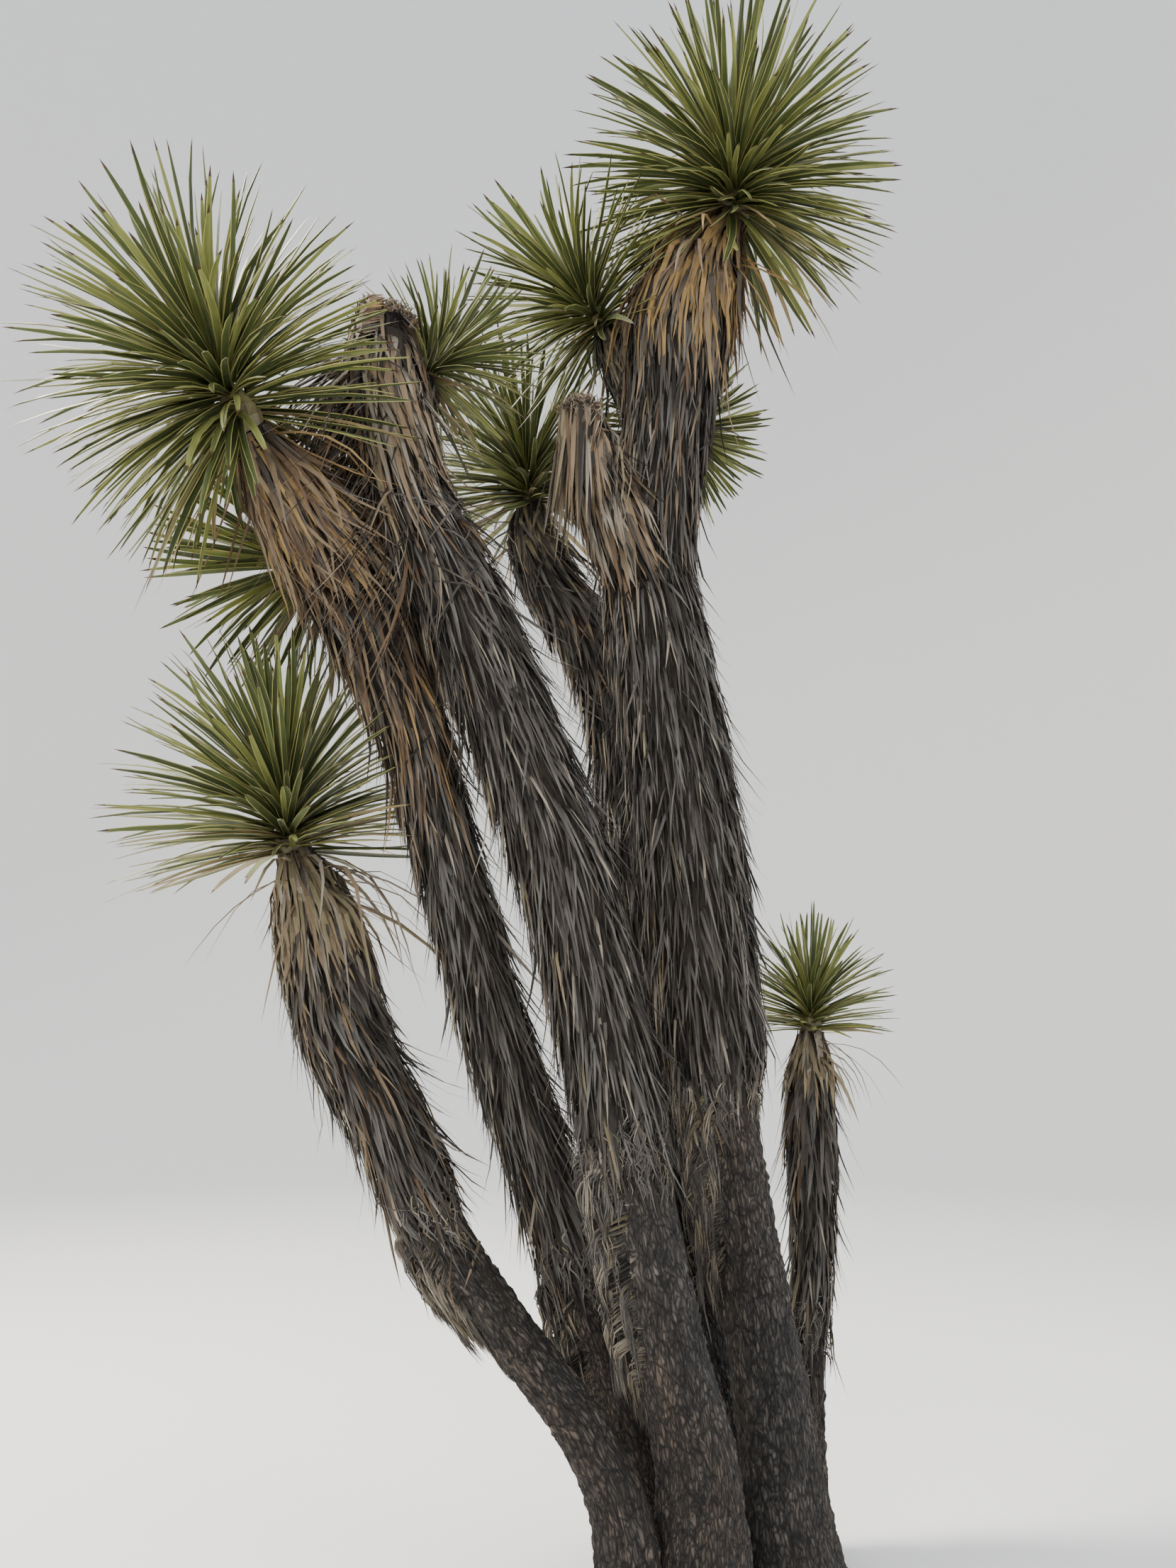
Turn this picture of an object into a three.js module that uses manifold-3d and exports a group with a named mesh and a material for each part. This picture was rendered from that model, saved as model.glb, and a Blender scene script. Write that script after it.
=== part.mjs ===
// Joshua tree: a clump of six leaning stems from one root. Each stem is bare bark at the foot, wears a skirt
// of dead leaves higher up, and ends in a head of dagger leaves or in a dead, broken top. Five short side
// boughs stand on the stems. Millimetres, +Z up, the origin in the middle of the main stem's flat foot.
import * as THREE from "three";
import { mergeVertices } from "three/addons/utils/BufferGeometryUtils.js";
import Module from "manifold-3d";

const wasm = await Module();
wasm.setup();

// Driving sizes
const leafLength = 400; // a full-grown blade of the big heads
const leafWidth = 19; // wider than life, as each stands for two or three
const leafThickness = 5.5;
const leafShoulder = 0.06; // where along the blade it is widest
const gap = 0.4; // clearance between two pieces that touch
const nearest = 0.5; // a leaf closer than this to another piece is skipped
const sides = 10; // facets round a stem
const stationStep = 200; // spacing of the rings along a stem
const sliver = 0.02; // edges shorter than this are closed up
const tierStep = 140; // height of one tier of dead leaves
const tierLip = 17; // how far a tier's hem stands out over the next one
const tierTuck = 30; // how far the next tier starts above the hem that hangs over it
const tierJag = 13; // depth of the teeth along a hem
const flareHeight = 110; // the root flare fades over this height
const flareStations = [30, 90]; // heights of the level rings that round the flare
const bumpPitch = 0.009; // turn of the bark's unevenness for each millimetre up
const fringeDrop = 330; // the skirt reaches this much lower down on the stem's left side
// The dead leaves that stand out of a skirt: how many, and where they start.
const loose = { many: 16, few: 8, longLimb: 700, from: 0.55, below: 60, sunk: 16 };
const tuft = { leaves: 11, length: 72, spread: 1.6, sunk: 22 }; // dead leaves round a broken top
const coreShape = { radius: 50, length: 120 }; // the living stem inside a full-size head
const sideLeaf = 0.8; // length of the leaves that stand out sideways or droop, against the upright ones
const rootDepth = 0.3; // how deep in the core a blade starts, as a share of the way out
const rootRise = { low: 0.25, high: 0.6 }; // how high up the core the drooping and the upright blades start
const goldenAngle = Math.PI * (3 - Math.sqrt(5));

// Each route row is x, y, z and the outer radius there, dead leaves included.
const stems = {
  main: {
    route: [[0, 0, 0, 66], [-24, 5, 300, 66], [-66, 18, 600, 82], [-106, 20, 895, 96], [-148, 18, 1290, 104],
      [-205, 0, 1690, 101], [-222, -5, 1800, 96], [-200, -25, 1960, 84], [-178, -42, 2150, 92],
      [-163, -62, 2300, 112], [-125, -80, 2425, 99], [-50, -90, 2562, 44]],
    bark: [64, 36], flare: 0.8, skirtFrom: 790, seed: 11,
    head: { aim: [0.06, -0.2, 1], leaves: 74, size: 1, droop: 132 },
  },
  front: {
    route: [[-168, -120, 0, 68], [-166, -130, 230, 66], [-200, -142, 390, 68], [-283, -175, 760, 76],
      [-349, -195, 1060, 80], [-395, -208, 1233, 85], [-461, -218, 1410, 82], [-531, -225, 1579, 86],
      [-600, -232, 1730, 86], [-655, -238, 1840, 76], [-690, -240, 1950, 72], [-716, -240, 2060, 77],
      [-722, -240, 2180, 69], [-719, -240, 2241, 55]],
    bark: [64, 34], flare: 0.62, skirtFrom: 700, seed: 12,
  },
  left: {
    route: [[-210, 50, 0, 48], [-265, 58, 226, 50], [-381, 30, 570, 62], [-497, -20, 895, 62],
      [-602, -90, 1255, 64], [-651, -130, 1435, 66], [-700, -165, 1570, 78], [-756, -205, 1690, 92],
      [-805, -262, 1765, 90], [-851, -330, 1822, 72], [-906, -420, 1898, 40]],
    bark: [50, 30], flare: 0.7, skirtFrom: 490, seed: 13,
    head: { aim: [-0.44, -0.4, 0.85], leaves: 74, size: 0.95, droop: 128 },
  },
  low: {
    route: [[-272, -160, 0, 50], [-290, -160, 190, 48], [-338, -150, 286, 46], [-471, -120, 446, 48],
      [-604, -80, 612, 62], [-700, -50, 790, 72], [-769, -30, 902, 78], [-806, -20, 1007, 81],
      [-840, -20, 1114, 74], [-869, -20, 1196, 57], [-890, -20, 1248, 40]],
    bark: [46, 30], flare: 0.5, skirtFrom: 680, seed: 14,
    head: { aim: [-0.3, -0.12, 1], leaves: 70, size: 0.98, droop: 108 },
  },
  rear: {
    route: [[-55, 145, 0, 52], [-114, 180, 350, 52], [-174, 200, 670, 58], [-204, 220, 896, 62],
      [-250, 240, 1313, 68], [-275, 250, 1565, 70], [-308, 260, 1697, 69], [-363, 270, 1815, 68],
      [-427, 280, 1921, 64], [-465, 290, 2028, 52], [-471, 300, 2112, 38]],
    bark: [48, 28], flare: 0.7, skirtFrom: 480, seed: 15,
    head: { aim: [-0.1, -0.1, 1], leaves: 52, size: 0.88, droop: 112 },
  },
  small: {
    route: [[50, 165, 0, 38], [78, 235, 312, 36], [100, 260, 480, 42], [106, 270, 656, 50],
      [114, 280, 840, 47], [118, 280, 929, 29]],
    bark: [34, 22], flare: 0.8, skirtFrom: 330, seed: 16,
    head: { aim: [0.02, -0.05, 1], leaves: 38, size: 0.56, droop: 96 },
  },
};

// A bough starts on its stem's centre line and is cut clear of the stem.
const boughs = {
  upper: {
    seed: 21, bark: [27, 22],
    route: [[-178, -42, 2110, 40], [-246, -30, 2232, 46], [-303, -20, 2348, 32]],
    head: { aim: [-0.6, -0.2, 0.8], leaves: 44, size: 0.78, droop: 112 },
  },
  hidden: {
    seed: 22, bark: [26, 21],
    route: [[-200, -25, 1960, 40], [-172, 96, 2080, 44], [-140, 200, 2244, 31]],
    head: { aim: [0.2, 0.9, 0.4], leaves: 34, size: 0.62, droop: 112 },
  },
  dead: {
    seed: 23, bark: [32, 26],
    route: [[-215, -3, 1750, 62], [-288, -112, 1880, 66], [-330, -155, 1975, 58], [-354, -180, 2062, 38]],
  },
  side: {
    seed: 24, bark: [24, 20],
    route: [[-728, -185, 1640, 36], [-768, -132, 1706, 38], [-816, -80, 1793, 29]],
    head: { aim: [-0.9, 0.3, 0.25], leaves: 38, size: 0.85, droop: 104 },
  },
  top: {
    seed: 25, bark: [22, 18],
    route: [[-690, -240, 1950, 36], [-672, -196, 2046, 38], [-658, -160, 2153, 28]],
    head: { aim: [0.5, 0.2, 0.8], leaves: 32, size: 0.6, droop: 108 },
  },
};

const materials = {
  bark: new THREE.MeshStandardMaterial({ color: 0x5b4c40, roughness: 0.95, metalness: 0 }),
  skirt: new THREE.MeshStandardMaterial({ color: 0x8a7a64, roughness: 0.9, metalness: 0 }),
  leaf: new THREE.MeshStandardMaterial({ color: 0x76803a, roughness: 0.6, metalness: 0 }),
};

// Small helpers
function seeded(seed) {
  let state = seed >>> 0;
  return () => {
    state = (state + 0x6d2b79f5) >>> 0;
    let t = state;
    t = Math.imul(t ^ (t >>> 15), t | 1);
    t ^= t + Math.imul(t ^ (t >>> 7), t | 61);
    return ((t ^ (t >>> 14)) >>> 0) / 4294967296;
  };
}

const mix = THREE.MathUtils.lerp;
const smooth = THREE.MathUtils.smoothstep;

function toSolid(geometry) {
  const bare = geometry.index ? geometry.toNonIndexed() : geometry;
  const shell = new THREE.BufferGeometry().setAttribute("position", bare.getAttribute("position"));
  const merged = mergeVertices(shell, 1e-3);
  return new wasm.Manifold(new wasm.Mesh({
    numProp: 3,
    vertProperties: merged.attributes.position.array,
    triVerts: new Uint32Array(merged.index.array),
  }));
}

function toMesh(name, solid, material) {
  const { numProp, numVert, vertProperties, triVerts } = solid.getMesh();
  const position = new Float32Array(numVert * 3);
  for (let i = 0; i < numVert; i++) {
    position.set(vertProperties.subarray(i * numProp, i * numProp + 3), i * 3);
  }
  const geometry = new THREE.BufferGeometry();
  geometry.setAttribute("position", new THREE.BufferAttribute(position, 3));
  geometry.setIndex(new THREE.BufferAttribute(new Uint32Array(triVerts), 1));
  const flat = geometry.toNonIndexed();
  flat.computeVertexNormals();
  const mesh = new THREE.Mesh(flat, material);
  mesh.name = name;
  return mesh;
}

// Slivers are closed up, and scraps that a cut leaves loose are dropped.
function largestBody(solid) {
  return solid.simplify(sliver).decompose().sort((a, b) => b.volume() - a.volume())[0];
}

// A closed skin over rings of points, lowest ring first, each ring counter-clockwise seen from its top.
function skin(rings) {
  const count = rings[0].length;
  const points = rings.flat();
  const middle = (ring) => ring.reduce((sum, p) => sum.add(p), new THREE.Vector3()).divideScalar(count);
  const foot = points.push(middle(rings[0])) - 1;
  const top = points.push(middle(rings.at(-1))) - 1;
  const index = [];
  for (let i = 0; i < count; i++) {
    const next = (i + 1) % count;
    const last = (rings.length - 1) * count;
    index.push(foot, next, i, top, last + i, last + next);
    for (let k = 0; k < rings.length - 1; k++) {
      const low = k * count;
      const high = low + count;
      index.push(low + i, low + next, high + i, low + next, high + next, high + i);
    }
  }
  return new THREE.BufferGeometry().setFromPoints(points).setIndex(index);
}

// A limb's centre line, with the outer radius and the side directions at any share of its length.
function centreLine({ route }) {
  const points = route.map(([x, y, z]) => new THREE.Vector3(x, y, z));
  const curve = new THREE.CatmullRomCurve3(points, false, "centripetal");
  curve.arcLengthDivisions = 400;
  const length = curve.getLength();
  const marks = route.map((_, i) => {
    const lengths = curve.getLengths();
    return lengths[Math.round((i / (route.length - 1)) * (lengths.length - 1))];
  });
  const girth = (s) => {
    const i = Math.max(1, marks.findIndex((m) => m >= Math.min(s, length - 1e-6)));
    return mix(route[i - 1][3], route[i][3], (s - marks[i - 1]) / (marks[i] - marks[i - 1]));
  };
  const at = (s) => {
    const share = THREE.MathUtils.clamp(s / length, 0, 1);
    const tangent = curve.getTangentAt(share);
    const point = curve.getPointAt(share).addScaledVector(tangent, s - share * length);
    const right = new THREE.Vector3(1, 0, 0).addScaledVector(tangent, -tangent.x).normalize();
    const back = new THREE.Vector3().crossVectors(tangent, right);
    return { point, tangent, right, back };
  };
  return { length, girth, at };
}

function levelFrame(point) {
  const [right, back, tangent] = [[1, 0, 0], [0, 1, 0], [0, 0, 1]].map((axis) => new THREE.Vector3(...axis));
  return { point, tangent, right, back };
}

// The level direction out of a limb at an angle round it.
function outward({ right, back }, angle) {
  return right.clone().multiplyScalar(Math.cos(angle)).addScaledVector(back, Math.sin(angle));
}

function ringAround({ point, tangent, right, back }, radiusAt, shiftAt = () => 0) {
  return Array.from({ length: sides }, (_, i) => {
    const angle = (i / sides) * 2 * Math.PI;
    const radius = radiusAt(angle, i);
    return point.clone()
      .addScaledVector(right, radius * Math.cos(angle))
      .addScaledVector(back, radius * Math.sin(angle))
      .addScaledVector(tangent, shiftAt(angle, i));
  });
}

// The bark: a slightly uneven taper, with a lobed root flare and a level foot where it stands on the ground.
function barkSolid(limb, line, grown = 0) {
  const [footRadius, tipRadius] = limb.bark;
  const count = Math.max(3, Math.round(line.length / stationStep));
  const flare = limb.flare ?? 0;
  const stations = Array.from({ length: count + 1 }, (_, k) => (line.length + grown) * (k / count));
  if (flare) stations.splice(1, 0, ...flareStations);
  return toSolid(skin(stations.map((s) => {
    const frame = flare && s < flareHeight ? levelFrame(line.at(s).point.setZ(s)) : line.at(s);
    const spread = flare * Math.exp(-s / flareHeight);
    const wave = limb.seed + s * bumpPitch;
    return ringAround(frame, (angle) => {
      const uneven = 1 + 0.035 * Math.sin(angle * 2 + wave) + 0.025 * Math.cos(angle * 3 - wave);
      const lobes = 1 + 0.12 * spread * Math.cos(angle * 3 + limb.seed);
      return mix(footRadius, tipRadius, s / line.length) * uneven * (1 + spread) * lobes + grown;
    });
  })));
}

// How far down the dead leaves hang at an angle round the stem: lower on its left than on its right.
function skirtEdge(limb, angle) {
  const leftness = Math.max(0, Math.cos(angle - Math.PI));
  return (limb.skirtFrom ?? 0) - (limb.skirtFrom ? fringeDrop * leftness ** 3 : 0);
}

// The heights of a skirt's tiers, and its radius at a height and an angle.
function skirtPlan(limb, line) {
  const lowest = limb.skirtFrom ? Math.max(150, limb.skirtFrom - fringeDrop) : 0;
  const tiers = Math.max(2, Math.round((line.length - lowest) / tierStep));
  const [footRadius, tipRadius] = limb.bark;
  const coat = (s, angle) => {
    const under = mix(footRadius, tipRadius, s / line.length) * 0.9 - 4;
    const edge = skirtEdge(limb, angle);
    const share = limb.skirtFrom ? smooth(s, edge - 40, edge + 110) : 1;
    return mix(under, line.girth(s), share);
  };
  return { heights: Array.from({ length: tiers }, (_, k) => mix(lowest, line.length, k / tiers)), coat };
}

// The outside of a skirt: tiers of dead leaves whose jagged hems overhang one another.
function skirtOutside(limb, line) {
  const random = seeded(limb.seed * 97);
  const { heights, coat } = skirtPlan(limb, line);
  const rings = [];
  heights.forEach((low, k) => {
    if (k > 0) rings.push(ringAround(line.at(low + tierTuck), (angle) => coat(low, angle) - tierLip * 0.6));
    const hem = (angle) => coat(low, angle) + (k ? tierLip * (0.4 + 0.5 * random()) : 0);
    const tooth = (_, i) => (k ? (i % 2 ? -1 : 1) * tierJag * (0.5 + random()) : 0);
    rings.push(ringAround(line.at(low), hem, tooth));
  });
  // The dead leaves close over a broken top; under a green head they end at the collar.
  rings.push(ringAround(line.at(line.length + (limb.head ? -4 : 12)), () => line.girth(line.length) - 2));
  return toSolid(skin(rings));
}

// A smooth sleeve a little outside a skirt's widest hems, used to cut its neighbours clear of it.
function skirtEnvelope(limb, line) {
  const { heights, coat } = skirtPlan(limb, line);
  const clear = tierLip + gap * 8;
  const rings = heights.map((low, k) => {
    return ringAround(line.at(k ? low : low - tierJag * 2), (angle) => coat(low, angle) + clear);
  });
  rings.push(ringAround(line.at(line.length + 14), () => line.girth(line.length) + clear * 0.5));
  return toSolid(skin(rings));
}

// One dagger leaf along +Z: eight long faces between its root, its widest ring and its tip.
function bladeSolid(length, width, thickness) {
  const blade = new THREE.OctahedronGeometry(1);
  const position = blade.getAttribute("position");
  for (let i = 0; i < position.count; i++) {
    const along = position.getZ(i);
    position.setXYZ(i,
      position.getX(i) * width / 2,
      position.getY(i) * thickness / 2,
      along > 0.5 ? length : along < -0.5 ? 0 : length * leafShoulder);
  }
  return toSolid(blade);
}

// A blade from its root along a direction, its width along the side given, then rolled a little.
function placed(solid, root, direction, side, roll) {
  const along = direction.clone().normalize();
  const width = side.clone().addScaledVector(along, -side.dot(along)).normalize().applyAxisAngle(along, roll);
  const through = new THREE.Vector3().crossVectors(along, width);
  return solid.transform(new THREE.Matrix4().makeBasis(width, through, along).setPosition(root).toArray());
}

function isClear(solid, others) {
  const a = solid.boundingBox();
  return others.every((other) => {
    const b = other.boundingBox();
    const apart = [0, 1, 2].some((k) => a.min[k] > b.max[k] + nearest || b.min[k] > a.max[k] + nearest);
    return apart || solid.minGap(other, nearest * 2) >= nearest;
  });
}

// A head: a short living stem with dagger leaves set round it by the golden angle, their bases sunk in it.
function headSolid(limb, line, others) {
  const { aim, leaves, size, droop } = limb.head;
  const random = seeded(limb.seed * 131);
  const tip = line.at(line.length);
  const base = tip.point.clone().addScaledVector(tip.tangent, gap);
  const lean = new THREE.Vector3(...aim).normalize();
  const coreLength = coreShape.length * size;
  const coreRadius = Math.max(coreShape.radius * size, limb.bark[1] * 1.1);
  const grown = [coreSolid(tip, base, lean, limb.bark[1] * 0.96, coreRadius, coreLength)];
  const right = new THREE.Vector3(1, 0, 0).addScaledVector(lean, -lean.x).normalize();
  const back = new THREE.Vector3().crossVectors(lean, right);
  const lowest = THREE.MathUtils.degToRad(droop);
  for (let i = 0; i < leaves; i++) {
    const share = (i + 0.5) / leaves;
    const polar = Math.acos(1 - (1 - Math.cos(lowest)) * share) + (random() - 0.5) * 0.1;
    const turn = i * goldenAngle + (random() - 0.5) * 0.15;
    const round = outward({ right, back }, turn);
    const direction = lean.clone().multiplyScalar(Math.cos(polar)).addScaledVector(round, Math.sin(polar));
    const upright = (Math.cos(polar) - Math.cos(lowest)) / (1 - Math.cos(lowest));
    const root = base.clone()
      .addScaledVector(lean, coreLength * mix(rootRise.low, rootRise.high, upright))
      .addScaledVector(round, coreRadius * Math.sin(polar) * rootDepth);
    const reach = mix(sideLeaf, 1, Math.max(0, Math.cos(polar)));
    const length = leafLength * size * reach * (0.94 + 0.1 * random());
    const fat = Math.sqrt(size);
    const blade = bladeSolid(length, leafWidth * fat, leafThickness * fat);
    const leaf = placed(blade, root, direction, round.cross(lean), (random() - 0.5) * 0.8);
    if (isClear(leaf, others)) grown.push(leaf);
  }
  return largestBody(wasm.Manifold.union(grown));
}

// The core stands square on its limb's tip and bends over to the head's own direction.
function coreSolid(tip, base, lean, footRadius, radius, length) {
  const profile = [[0, 0], [footRadius, 0], [radius, 0.35], [radius * 0.75, 0.8], [0, 1]];
  const core = new THREE.LatheGeometry(profile.map(([r, h]) => new THREE.Vector2(r, h * length)), 8);
  core.rotateX(Math.PI / 2);
  const position = core.getAttribute("position");
  const upright = new THREE.Quaternion().setFromUnitVectors(new THREE.Vector3(0, 0, 1), tip.tangent);
  const bend = new THREE.Quaternion().setFromUnitVectors(tip.tangent, lean);
  const v = new THREE.Vector3();
  for (let i = 0; i < position.count; i++) {
    v.fromBufferAttribute(position, i);
    const share = smooth(v.z, 0, length * 0.5);
    v.applyQuaternion(upright).applyQuaternion(new THREE.Quaternion().slerp(bend, share)).add(base);
    position.setXYZ(i, v.x, v.y, v.z);
  }
  return toSolid(core);
}

// The long dead leaves that stand out of a skirt, every second one just under the head.
function looseLeaves(limb, line, others) {
  const random = seeded(limb.seed * 151);
  const count = line.length > loose.longLimb ? loose.many : loose.few;
  const size = limb.head ? limb.head.size : 0.7;
  const found = [];
  for (let i = 0; i < count; i++) {
    const share = i % 2 ? 1 : mix(loose.from, 1, random());
    const s = line.length * share - loose.below * size * (1 + random());
    const frame = line.at(s);
    const angle = i * goldenAngle;
    const out = outward(frame, angle);
    const root = frame.point.clone().addScaledVector(out, line.girth(s) - loose.sunk);
    const direction = frame.tangent.clone().multiplyScalar(-1).addScaledVector(out, 0.22 + 0.2 * random());
    const blade = bladeSolid(leafLength * size * (0.6 + 0.2 * random()), leafWidth * 0.8, leafThickness);
    const leaf = placed(blade, root, direction, out.cross(frame.tangent), (random() - 0.5) * 0.8);
    if (isClear(leaf, others)) found.push(leaf);
  }
  return found;
}

// The curled dead leaves that stand up round a broken top.
function tuftLeaves(limb, line, others) {
  const random = seeded(limb.seed * 171);
  const frame = line.at(line.length);
  const found = [];
  for (let i = 0; i < tuft.leaves; i++) {
    const angle = i * goldenAngle;
    const out = outward(frame, angle);
    const spread = mix(0.15, tuft.spread, Math.sqrt((i + 0.5) / tuft.leaves));
    const direction = frame.tangent.clone().addScaledVector(out, spread);
    const root = frame.point.clone()
      .addScaledVector(frame.tangent, -tuft.sunk)
      .addScaledVector(out, line.girth(line.length) * 0.55);
    const blade = bladeSolid(tuft.length * (0.7 + 0.5 * random()), leafWidth, leafThickness);
    const leaf = placed(blade, root, direction, out.cross(frame.tangent), (random() - 0.5) * 0.8);
    if (isClear(leaf, others)) found.push(leaf);
  }
  return found;
}

// The build runs from the inside out, and each piece is cut or kept clear of those before it.
const tree = new THREE.Group();
tree.name = "joshua_tree";
const solids = [];

function keep(name, solid, material) {
  solids.push(solid);
  tree.add(toMesh(name, solid, material));
  return solid;
}

const limbs = [
  ...Object.entries(stems).map(([name, limb]) => ({ name, limb, line: centreLine(limb), isStem: true })),
  ...Object.entries(boughs).map(([name, limb]) => ({ name, limb, line: centreLine(limb), isStem: false })),
];
const grownBark = new Map(limbs.map(({ name, limb, line }) => [name, barkSolid(limb, line, gap)]));

limbs.forEach(({ name, limb, line, isStem }, i) => {
  let solid = barkSolid(limb, line);
  for (const earlier of limbs.slice(0, i)) solid = solid.subtract(grownBark.get(earlier.name));
  keep(name + (isStem ? "_stem" : "_bough"), largestBody(solid), materials.bark);
});

const skirts = [];
limbs.forEach(({ name, limb, line }) => {
  let solid = skirtOutside(limb, line);
  for (const bark of grownBark.values()) solid = solid.subtract(bark);
  for (const earlier of skirts) solid = solid.subtract(earlier.envelope);
  const sleeve = largestBody(solid);
  skirts.push({ name, sleeve, envelope: skirtEnvelope(limb, line) });
});
skirts.forEach(({ name, sleeve }, i) => {
  const { limb, line } = limbs[i];
  const others = [...solids, ...skirts.slice(i + 1).map((later) => later.sleeve)];
  const stray = looseLeaves(limb, line, others);
  if (!limb.head) stray.push(...tuftLeaves(limb, line, others));
  keep(name + "_skirt", largestBody(wasm.Manifold.union([sleeve, ...stray])), materials.skirt);
});

for (const { name, limb, line } of limbs) {
  if (limb.head) keep(name + "_head", headSolid(limb, line, solids), materials.leaf);
}

export default tree;
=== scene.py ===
import math

import bpy
import numpy as np
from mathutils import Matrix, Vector


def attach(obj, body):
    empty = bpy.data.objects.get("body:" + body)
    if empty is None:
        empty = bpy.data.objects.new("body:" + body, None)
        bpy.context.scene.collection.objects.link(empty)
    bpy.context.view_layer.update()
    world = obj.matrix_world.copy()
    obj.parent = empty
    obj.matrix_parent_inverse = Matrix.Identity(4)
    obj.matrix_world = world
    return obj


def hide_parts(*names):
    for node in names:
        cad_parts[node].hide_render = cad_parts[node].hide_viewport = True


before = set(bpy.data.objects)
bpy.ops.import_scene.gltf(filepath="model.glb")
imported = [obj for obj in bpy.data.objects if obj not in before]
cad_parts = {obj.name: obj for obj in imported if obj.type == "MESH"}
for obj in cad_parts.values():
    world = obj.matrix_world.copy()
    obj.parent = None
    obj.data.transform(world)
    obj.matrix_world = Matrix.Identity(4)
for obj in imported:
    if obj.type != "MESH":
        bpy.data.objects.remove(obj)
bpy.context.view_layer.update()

# Joshua tree: six leaning stems from one foot, clad in dead leaves, with heads of dagger leaves.
# Routes, sizes and the growing rule are the ones of the tree's solids, carried to finer leaves here.
mm = 0.001
goldenAngle = math.pi * (3 - math.sqrt(5))

view = {
    "eye": (-0.34, -2.20, 0.88),  # a little over two metres from the clump
    "pitch": 13,  # degrees above level
    "longSideFov": 67.3,
}

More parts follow.
